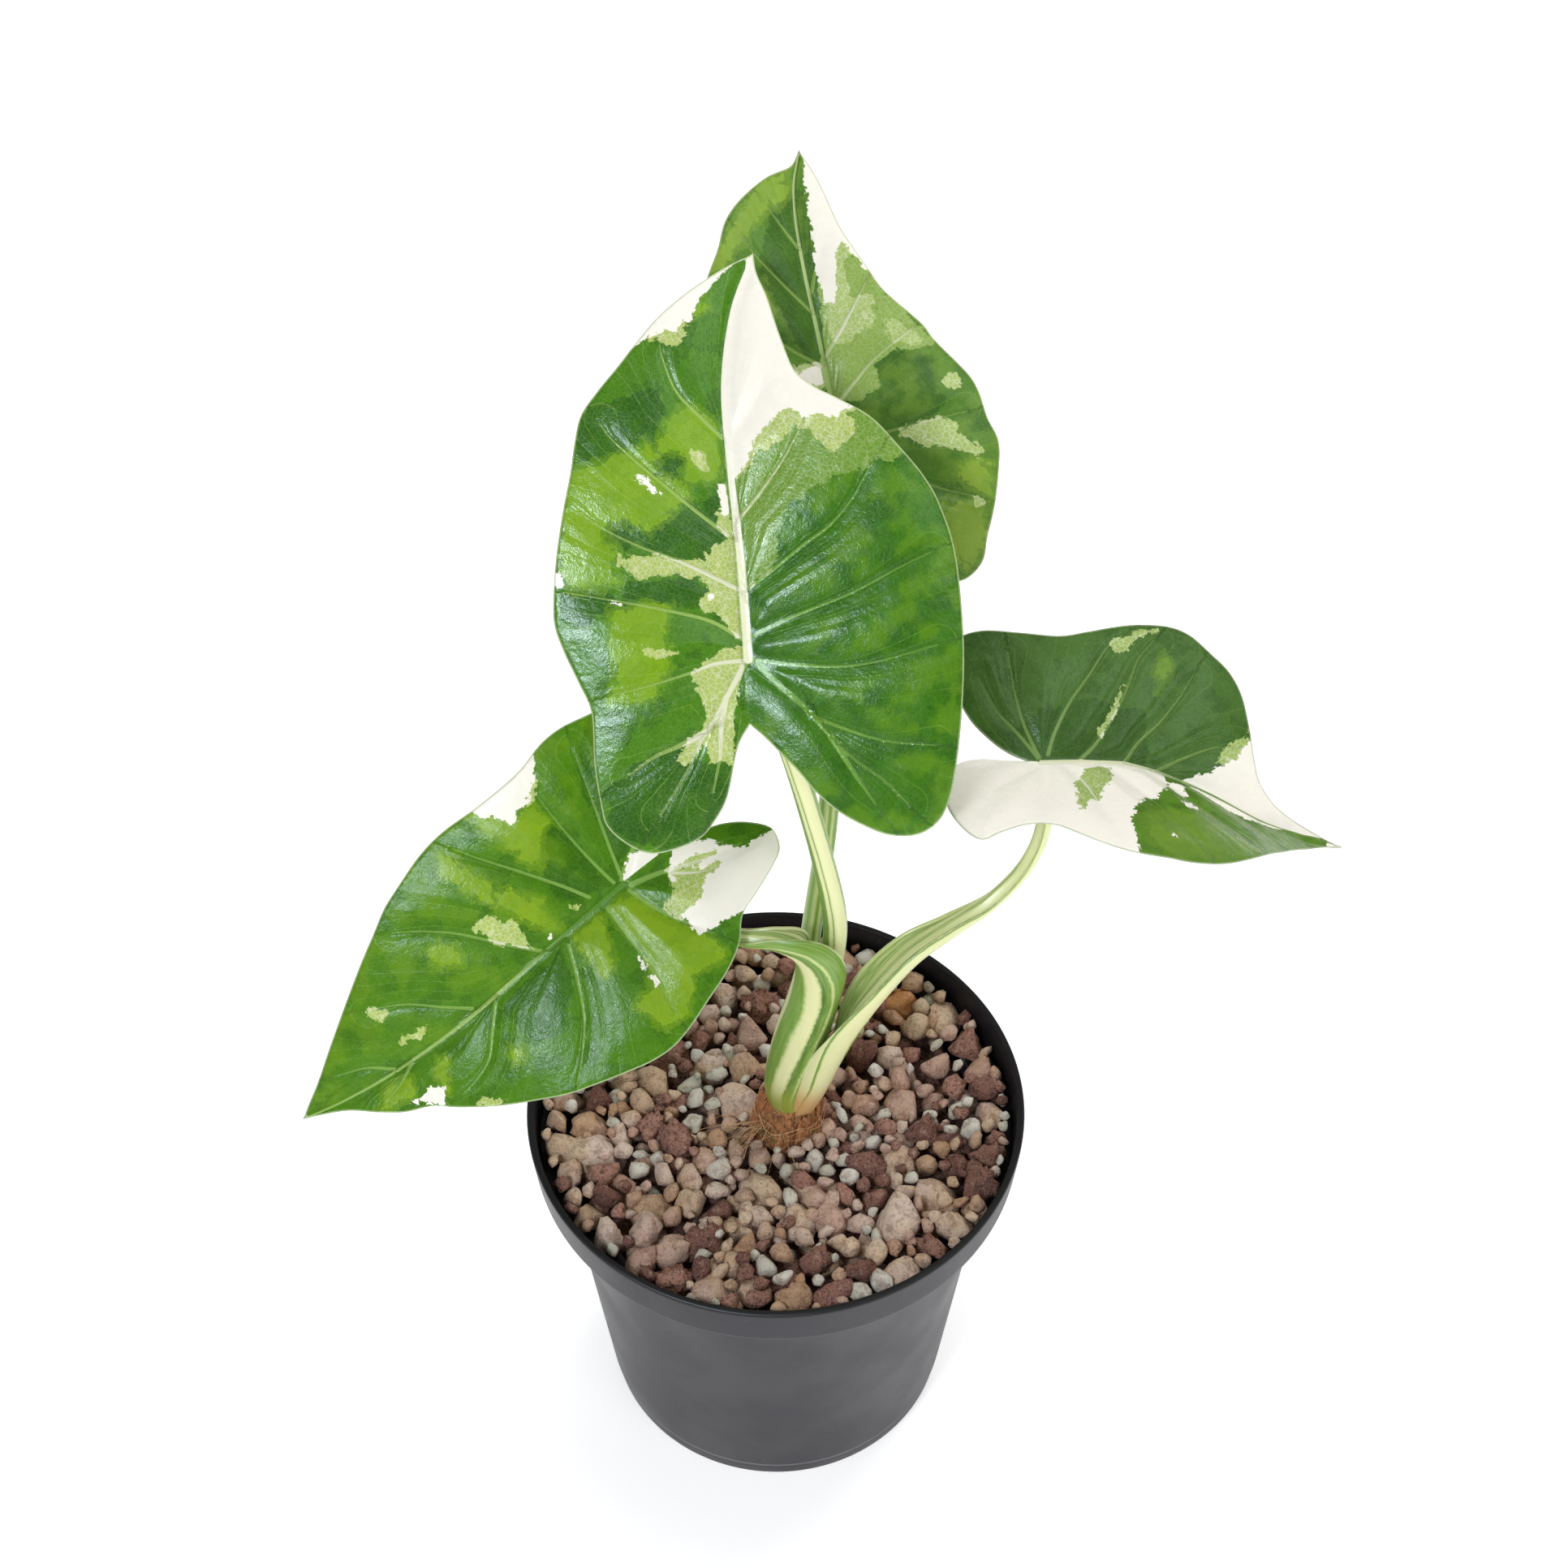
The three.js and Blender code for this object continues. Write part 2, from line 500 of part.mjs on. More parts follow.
// How far the midrib lies to the left of the straight line, at a distance along the blade.
function midribAt(leaf, along) {
  if (along <= 0) return 0;
  const line = leaf.midrib;
  const last = line.length - 1;
  const step = Math.min(last - 1, line.findLastIndex(([u]) => u <= along));
  const [start, end] = [line[step], line[step + 1]];
  return THREE.MathUtils.mapLinear(along, start[0], end[0], start[1], end[1]);
}

// Rows from the spine to the margin of one half, along the side veins. The spine runs out along the
// costa of the back lobe and home again, then along the midrib to the tip. Both sides of a costa
// and of the midrib use the same nodes.
function bladeRows(leaf, outline) {
  const tip = new THREE.Vector2(...leaf.midrib.at(-1));
  const corners = [[leaf.sinus, 0], ...outline]
    .map(([along, out]) => new THREE.Vector2(along, out + midribAt(leaf, along)));
  const margin = new THREE.SplineCurve([...corners, tip]).getSpacedPoints(MARGIN_SAMPLES);
  const marks = margin.map(({ x, y }) => x - VEIN_LAG * Math.abs(y - midribAt(leaf, x)));
  const lobe = marks.indexOf(Math.min(...marks));
  const edgeOfVein = (mark) => margin.find((_, i) => i > lobe && marks[i] >= mark) ?? tip;
  const reachOf = (node) => Math.sin(node / COSTA_NODES * Math.PI / 2);
  const onCosta = (node) => margin[lobe].clone().multiplyScalar(COSTA_REACH * reachOf(node));
  const rows = [];
  for (let node = 0; node <= COSTA_NODES; node += 1) {
    const seam = node < SEAM_NODES;
    const inner = (node - SEAM_NODES) / (COSTA_NODES - SEAM_NODES);
    const edge = seam
      ? new THREE.Vector2(leaf.sinus * node / SEAM_NODES, 0)
      : margin[Math.round(lobe * inner)];
    rows.push({ edge, spine: onCosta(node), seam, costa: true });
  }
  for (let node = COSTA_NODES - 1; node > 0; node -= 1) {
    const edge = edgeOfVein(marks[lobe] * reachOf(node));
    rows.push({ edge, spine: onCosta(node), seam: false, costa: true });
  }
  for (let node = 0; node <= MIDRIB_NODES; node += 1) {
    const along = tip.x * node / MIDRIB_NODES;
    const spine = new THREE.Vector2(along, midribAt(leaf, along));
    const edge = node === MIDRIB_NODES ? tip : edgeOfVein(along);
    rows.push({ edge, spine, seam: false, costa: false });
  }
  return rows;
}

// The rib under the spine: deep at the stalk, fading to the tip and to the ends of the lobes.
function ribDepth(leaf, spine, costa) {
  const reach = leaf.length * (costa ? RIB_REACH.costa : RIB_REACH.midrib);
  return RIB_DEPTH * Math.max(RIB_END, 1 - spine.length() / reach);
}

function bladeGrid(leaf, outline, grow) {
  const rows = bladeRows(leaf, outline);
  const half = BLADE_THICKNESS / 2 + grow;
  return rows.map(({ edge, spine, seam, costa }, i) => {
    const progress = i / (rows.length - 1);
    const wave = leaf.ripple * Math.sin(Math.PI * progress) * Math.sin(2 * Math.PI * leaf.ripples * progress);
    const quilt = QUILT_DEPTH * (i % 2 ? 1 : -1);
    const top = [];
    const under = [];
    for (const level of BLADE_LEVELS) {
      const place = spine.clone().lerp(edge, level);
      if (level === 1 && i > SEAM_NODES) place.addScaledVector(edge.clone().sub(spine).normalize(), grow);
      const relief = seam ? 0 : wave * level * level + quilt * Math.sin(Math.PI * level);
      const rib = place.distanceTo(spine) < 0.01 ? ribDepth(leaf, spine, costa) : 0;
      top.push(bladePoint(leaf, place.x, place.y, relief + half));
      under.push(bladePoint(leaf, place.x, place.y, relief - half - rib));
    }
    return { top, under, seam };
  });
}

function bladeHalf(leaf, outline, grow, flip) {
  const grid = bladeGrid(leaf, outline, grow);
  const triangles = [];
  for (let i = 0; i + 1 < grid.length; i += 1) {
    const [here, next] = [grid[i], grid[i + 1]];
    for (let j = 0; j + 1 < BLADE_LEVELS.length; j += 1) {
      triangles.push(...quad(here.top[j], next.top[j], next.top[j + 1], here.top[j + 1]));
      triangles.push(...quad(here.under[j + 1], next.under[j + 1], next.under[j], here.under[j]));
    }
    const rim = BLADE_LEVELS.length - 1;
    if (!here.seam) triangles.push(...quad(here.top[rim], next.top[rim], next.under[rim], here.under[rim]));
  }
  return flip ? triangles.map((corners) => corners.toReversed()) : triangles;
}

function bladeGeometry(leaf, grow) {
  const left = bladeHalf(leaf, leaf.left, grow, false);
  const right = bladeHalf(leaf, leaf.right, grow, true);
  return weld([...left, ...right]);
}

function bladeMesh(leaf) {
  const mesh = new THREE.Mesh(bladeGeometry(leaf, 0), material(LEAF_COLOUR, 0.4));
  mesh.name = leaf.name;
  mesh.position.set(...leaf.at);
  mesh.rotation.set(degrees(leaf.roll), degrees(-leaf.pitch), degrees(leaf.yaw), 'ZYX');
  mesh.updateMatrixWorld();
  return mesh;
}

function grownBlade(leaf, mesh) {
  return toSolid(bladeGeometry(leaf, SEAT_CLEARANCE).applyMatrix4(mesh.matrixWorld));
}

function named(name, solid, colour, roughness) {
  const mesh = new THREE.Mesh(toGeometry(solid), material(colour, roughness));
  mesh.name = name;
  return mesh;
}

const group = new THREE.Group();
const blades = new Map(LEAVES.map((leaf) => [leaf.name, bladeMesh(leaf)]));

// Stalks come from the outermost to the innermost: each is cut clear of its own blade and of the
// stalks that clasp it.
const clasping = [];
for (const spec of STALKS) {
  const leaf = LEAVES.find(({ name }) => name === spec.leaf);
  let solid = stalk(spec, 0).subtract(grownBlade(leaf, blades.get(leaf.name)));
  for (const outer of clasping) solid = solid.subtract(outer);
  clasping.push(stalk(spec, CLEARANCE));
  group.add(named(spec.name, biggestBody(solid), STALK_COLOUR, 0.45));
}

let cormSolid = corm(0);
for (const outer of clasping) cormSolid = cormSolid.subtract(outer);
group.add(named('corm', biggestBody(cormSolid), CORM_COLOUR, 0.95));

let gritSolid = gritBed().subtract(corm(CLEARANCE));
for (const outer of clasping) gritSolid = gritSolid.subtract(outer);
group.add(named('grit_bed', biggestBody(gritSolid), GRIT_COLOUR, 0.95));

group.add(named('pot', pot(), POT_COLOUR, 0.6));
for (const mesh of blades.values()) group.add(mesh);

export default group;
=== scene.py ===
# %% [markdown]
# # A potted elephant ear with marbled leaves
#
# The plant is a young variegated elephant ear: four heart-shaped blades on long stalks that clasp each
# other above a fibrous corm, in a charcoal nursery pot filled with mineral grit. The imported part
# already holds the exact places of all of them. This lesson dresses each solid in turn, and keeps
# every piece where its solid is, in metres, with the ground at z = 0.

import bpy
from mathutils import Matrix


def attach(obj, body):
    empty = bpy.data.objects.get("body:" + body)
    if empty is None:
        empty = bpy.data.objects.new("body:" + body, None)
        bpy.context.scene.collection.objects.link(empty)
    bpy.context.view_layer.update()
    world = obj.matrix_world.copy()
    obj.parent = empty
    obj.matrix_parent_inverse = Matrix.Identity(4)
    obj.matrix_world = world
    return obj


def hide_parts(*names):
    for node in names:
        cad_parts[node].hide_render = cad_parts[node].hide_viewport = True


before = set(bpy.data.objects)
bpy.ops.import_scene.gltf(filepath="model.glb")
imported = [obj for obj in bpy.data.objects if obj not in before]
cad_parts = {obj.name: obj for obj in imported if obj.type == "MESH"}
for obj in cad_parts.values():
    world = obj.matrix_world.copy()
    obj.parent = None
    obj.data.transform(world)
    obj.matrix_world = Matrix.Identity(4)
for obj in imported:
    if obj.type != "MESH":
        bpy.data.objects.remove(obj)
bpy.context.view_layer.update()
print("solids:", sorted(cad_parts))

# %% Tools of the trade
import math

import bmesh
import bpy
import numpy as np
from mathutils import Vector, noise
from mathutils.geometry import delaunay_2d_cdt

MM = 0.001
rng = np.random.default_rng(7)


def tone(red, green, blue):
    """A colour as the eye reads it on a screen, 0 to 255, turned into the light values that shaders use."""
    parts = [value / 255 for value in (red, green, blue)]
    return tuple(p / 12.92 if p <= 0.04045 else ((p + 0.055) / 1.055) ** 2.4 for p in parts) + (1.0,)


def in_scene(name, data):
    """A new object with this data, linked into the scene."""
    made = bpy.data.objects.new(name, data)
    bpy.context.scene.collection.objects.link(made)
    return made


def mesh_piece(name, points_mm, faces, material):
    """A smooth mesh object from points in millimetres, with its place in the mesh."""
    mesh = bpy.data.meshes.new(name)
    mesh.from_pydata((np.asarray(points_mm, dtype=float) * MM).tolist(), [], [list(f) for f in faces])
    mesh.materials.append(material)
    mesh.update()
    return smooth(in_scene(name, mesh))


def smooth(piece):
    """Shades every face of a piece smooth."""
    piece.data.polygons.foreach_set("use_smooth", [True] * len(piece.data.polygons))
    return piece


def write_field(piece, name, values):
    """One number or one vector for each vertex, for the materials to read."""
    values = np.asarray(values, dtype=np.float32)
    kind, slot = ("FLOAT", "value") if values.ndim == 1 else ("FLOAT_VECTOR", "vector")
    field = piece.data.attributes.new(name, kind, "POINT")
    field.data.foreach_set(slot, values.ravel())


# %% [markdown]
# ## The camera, the light and the floor
#
# The camera's height, tilt and lens were worked out from the pot: its rim shows as an ellipse, and a
# real pot of this kind is 120 mm across. A plant photographed for a catalogue stands in a white tent,
# so light comes from all round. Wide soft lamps above, behind, in front and at the side stand in for the
# tent's walls, and a smaller one up on the left is the key. None of them is mirrored in the leaves: the
# highlights come from two lamps of their own, which light nothing, so the gloss can be set by itself.

# %% Camera
CAMERA_PLACE = (0.0020, -0.3737, 0.6104)
CAMERA_TILT = 43.2634
CAMERA_LENS = 59.63
camera_data = bpy.data.cameras.new("camera")
camera_data.sensor_width = 36
camera_data.lens = CAMERA_LENS
camera = in_scene("camera", camera_data)
camera.location = CAMERA_PLACE
camera.rotation_euler = (math.radians(CAMERA_TILT), 0, 0)
bpy.context.scene.camera = camera
print("camera tilt:", CAMERA_TILT, "lens:", CAMERA_LENS)

# %% White tent and soft lamps
TENT_STRENGTH = 0.2
KEY_PLACE, KEY_AIM = (-0.35, -0.59, 0.84), (0, 0.02, 0.19)
bpy.context.scene.view_settings.view_transform = "Standard"
world = bpy.data.worlds.new("white_tent")
world.use_nodes = True
world.node_tree.nodes["Background"].inputs["Color"].default_value = (1, 1, 1, 1)
world.node_tree.nodes["Background"].inputs["Strength"].default_value = TENT_STRENGTH
bpy.context.scene.world = world


def soft_lamp(name, place, aim, width, watts, colour=(1, 1, 1), mirrored=False):
    """A round lamp that lights the plant, or one that is only mirrored in its gloss."""
    lamp_data = bpy.data.lights.new(name, "AREA")
    lamp_data.color = colour
    lamp_data.shape = "DISK"
    lamp_data.size = width
    lamp_data.energy = watts
    lamp = in_scene(name, lamp_data)
    lamp.location = place
    lamp.visible_glossy = mirrored
    lamp.visible_diffuse = not mirrored
    lamp.rotation_euler = (Vector(aim) - Vector(place)).to_track_quat("-Z", "Y").to_euler()


soft_lamp("key_lamp", KEY_PLACE, KEY_AIM, 0.26, 3.6, (0.94, 0.97, 1.0))
soft_lamp("gloss_lamp", KEY_PLACE, KEY_AIM, 0.24, 12, (0.76, 0.89, 1.0), mirrored=True)
soft_lamp("sheen_lamp", (0.5, -0.18, 0.98), (0.06, 0, 0.2), 0.5, 1.6, (0.85, 0.93, 1.0), mirrored=True)
soft_lamp("top_lamp", (0.05, 0.38, 1.45), (0, 0, 0.15), 1.0, 7.0, (1.0, 0.98, 0.96))
soft_lamp("back_lamp", (0.55, 0.75, 0.85), (0.06, 0, 0.17), 0.7, 5.0)
soft_lamp("front_lamp", (-0.25, -1.1, 0.3), (0, 0, 0.2), 0.9, 2.2)
soft_lamp("side_lamp", (0.75, -0.75, 0.25), (0.05, 0, 0.17), 0.7, 4.0)
print("lamps:", len(bpy.data.lights))

# %% [markdown]
# ## A small kit for node trees
#
# Every finish here is a tree of shader nodes, and some pieces are made by a tree of geometry nodes.
# Wiring each one by hand hides the idea behind the plumbing, so a small sketch class puts nodes down and
# plugs them together. Numbers that are the same all over a surface are set on the shader itself.

# %% Sketch class for node trees
class Sketch:
    """A tree of nodes, with short words for putting nodes down and for sums."""

    prefix = ""

    def put(self, kind, settings=None, **plugs):
        """Puts a node down; plugs are given as socket name or _number, and a value or an output."""
        node = self.tree.nodes.new(kind if kind.startswith("Shader") else self.prefix + kind)
        for key, value in (settings or {}).items():
            setattr(node, key, value)
        for key, value in plugs.items():
            self.plug(value, node.inputs[int(key[1:]) if key.startswith("_") else key.replace("_", " ")])
        return node

    def plug(self, value, socket):
        if isinstance(value, bpy.types.NodeSocket):
            self.tree.links.new(value, socket)
        else:
            socket.default_value = value

    def calculate(self, operation, first, *others):
        """One arithmetic node, or a chain of the same ones where more than two values are given."""
        for other in others or (0.0,):
            first = self.put("ShaderNodeMath", {"operation": operation}, _0=first, _1=other).outputs[0]
        return first

    def plus(self, *values):
        return self.calculate("ADD", *values)

    def minus(self, first, second):
        return self.calculate("SUBTRACT", first, second)

    def times(self, *values):
        return self.calculate("MULTIPLY", *values)

    def most(self, *values):
        return self.calculate("MAXIMUM", *values)

    def size(self, value):
        return self.calculate("ABSOLUTE", value)

    def split(self, vector):
        return self.put("ShaderNodeSeparateXYZ", Vector=vector).outputs


class Finish(Sketch):
    """A material with one physically based shader, and words for the nodes in front of it."""

    def __init__(self, name, **values):
        self.material = bpy.data.materials.new(name)
        self.material.use_nodes = True
        self.tree = self.material.node_tree
        self.shader = self.tree.nodes["Principled BSDF"]
        for socket, value in values.items():
            self.shader.inputs[socket.replace("_", " ")].default_value = value

    def sway(self, value, width):
        """A cloud of 0 to 1 as a shift to either side, this wide in all."""
        return self.times(self.minus(value, 0.5), width)

    def field(self, name, output="Fac"):
        return self.put("ShaderNodeAttribute", {"attribute_name": name}).outputs[output]

    def ease(self, value, low, high, to_low=0.0, to_high=1.0, step="SMOOTHSTEP"):
        """0 below low and 1 above high, or the two values given, with a soft step between."""
        node = self.put("ShaderNodeMapRange", {"interpolation_type": step}, Value=value,
                        From_Min=low, From_Max=high, To_Min=to_low, To_Max=to_high)
        return node.outputs["Result"]

    def mix(self, share, under, over):
        return self.put("ShaderNodeMix", {"data_type": "RGBA"}, _0=share, _6=under, _7=over).outputs[2]

    def clouds(self, place, scale, detail=3.0, roughness=0.5):
        node = self.put("ShaderNodeTexNoise", Vector=place, Scale=scale, Detail=detail, Roughness=roughness)
        return node.outputs["Fac"]

    def cells(self, place, scale, feature="F1", output="Distance"):
        node = self.put("ShaderNodeTexVoronoi", {"feature": feature}, Vector=place, Scale=scale)
        return node.outputs[output]

    def here(self):
        return self.put("ShaderNodeTexCoord").outputs["Object"]

    def bump(self, height, depth_mm, strength=1.0):
        node = self.put("ShaderNodeBump", Strength=strength, Distance=depth_mm * MM, Height=height)
        self.plug(node.outputs["Normal"], self.shader.inputs["Normal"])

    def roughness(self, value):
        self.plug(value, self.shader.inputs["Roughness"])

    def colour(self, value):
        """The last word of every finish: it sets the colour and hands the material over."""
        self.plug(value, self.shader.inputs["Base Color"])
        return self.material

    def words(self):
        """The five words that a finish uses most, to be used without its name before them."""
        return self.field, self.ease, self.mix, self.plus, self.times


# %% Floor
FLOOR_REACH = 12000


def floor_finish():
    finish = Finish("white_card", Roughness=0.9, Specular_IOR_Level=0.0, Emission_Strength=0.45,
                    Emission_Color=(1, 1, 1, 1))
    grain = finish.clouds(finish.here(), 900)
    return finish.colour(finish.mix(grain, tone(249, 249, 249), tone(252, 252, 252)))


floor_corners = [(FLOOR_REACH * x, FLOOR_REACH * y, 0) for x, y in ((-1, -1), (1, -1), (1, 1), (-1, 1))]
floor = mesh_piece("floor", floor_corners, [(0, 1, 2, 3)], floor_finish())
print("floor:", 2 * FLOOR_REACH, "mm wide")

# %% [markdown]
# ## Smooth lines
#
# A plant has no straight runs, so outlines, veins, stalks and hairs are all given as a few points that
# a Catmull-Rom curve runs through. The same curve is used in the solids, so both follow each other.

# %% Curves through points
def through(points, steps):
    """A smooth line through points, with a number of steps for each span."""
    points = np.asarray(points, dtype=float)
    padded = np.vstack([2 * points[0] - points[1], points, 2 * points[-1] - points[-2]])
    spans = []
    t = (np.arange(steps) / steps)[:, None]
    for a, b, c, d in zip(padded, padded[1:], padded[2:], padded[3:]):
        spans.append(0.5 * (2 * b + (c - a) * t + (2 * a - 5 * b + 4 * c - d) * t**2 + (3 * b - a - 3 * c + d) * t**3))
    return np.vstack([*spans, points[-1:]])


def evenly(line, gap):
    """The same line with its points a given distance apart."""
    lengths = np.r_[0, np.cumsum(np.linalg.norm(np.diff(line, axis=0), axis=1))]
    marks = np.linspace(0, lengths[-1], max(3, int(lengths[-1] / gap) + 1))
    return np.column_stack([np.interp(marks, lengths, column) for column in line.T])


def distance_to_line(points, line):
    """For each point, how far the nearest place on a line is, how far along it is as a share, and on which side."""
    start, end = line[:-1], line[1:]
    step = end - start
    away = points[:, None, :] - start[None]
    share = np.clip((away * step).sum(2) / np.maximum((step**2).sum(1), 1e-12), 0, 1)
    gap = away - share[..., None] * step
    squared = (gap**2).sum(2)
    nearest = squared.argmin(1)
    rows = np.arange(len(points))
    cross = step[nearest, 0] * away[rows, nearest, 1] - step[nearest, 1] * away[rows, nearest, 0]
    return np.sqrt(squared[rows, nearest]), (nearest + share[rows, nearest]) / len(start), np.sign(cross)


def inside_line(points, loop):
    """How deep each point lies inside a closed line, less than 0 outside it."""
    closed = np.vstack([loop, loop[:1]])
    depth, _, _ = distance_to_line(points, closed)
    (x0, y0), (x1, y1) = closed[:-1].T, closed[1:].T
    x, y = points[:, :1], points[:, 1:]
    crosses = ((y0 > y) != (y1 > y)) & (x < (x1 - x0) * (y - y0) / np.where(y1 == y0, 1e-9, y1 - y0) + x0)
    return np.where(crosses.sum(1) % 2 == 1, depth, -depth)


# %% [markdown]
# ## The blades: the sizes
#
# Each blade is described flat, as in a herbarium: u runs from the stalk's attachment along the midrib
# to the tip, and w is the distance from the midrib, more than 0 to the left. The sizes and outlines are
# those of the solids. Veins are listed from the back lobe to the tip, as the real ones branch: a costa
# into each lobe, and arching side veins that fade before the margin.

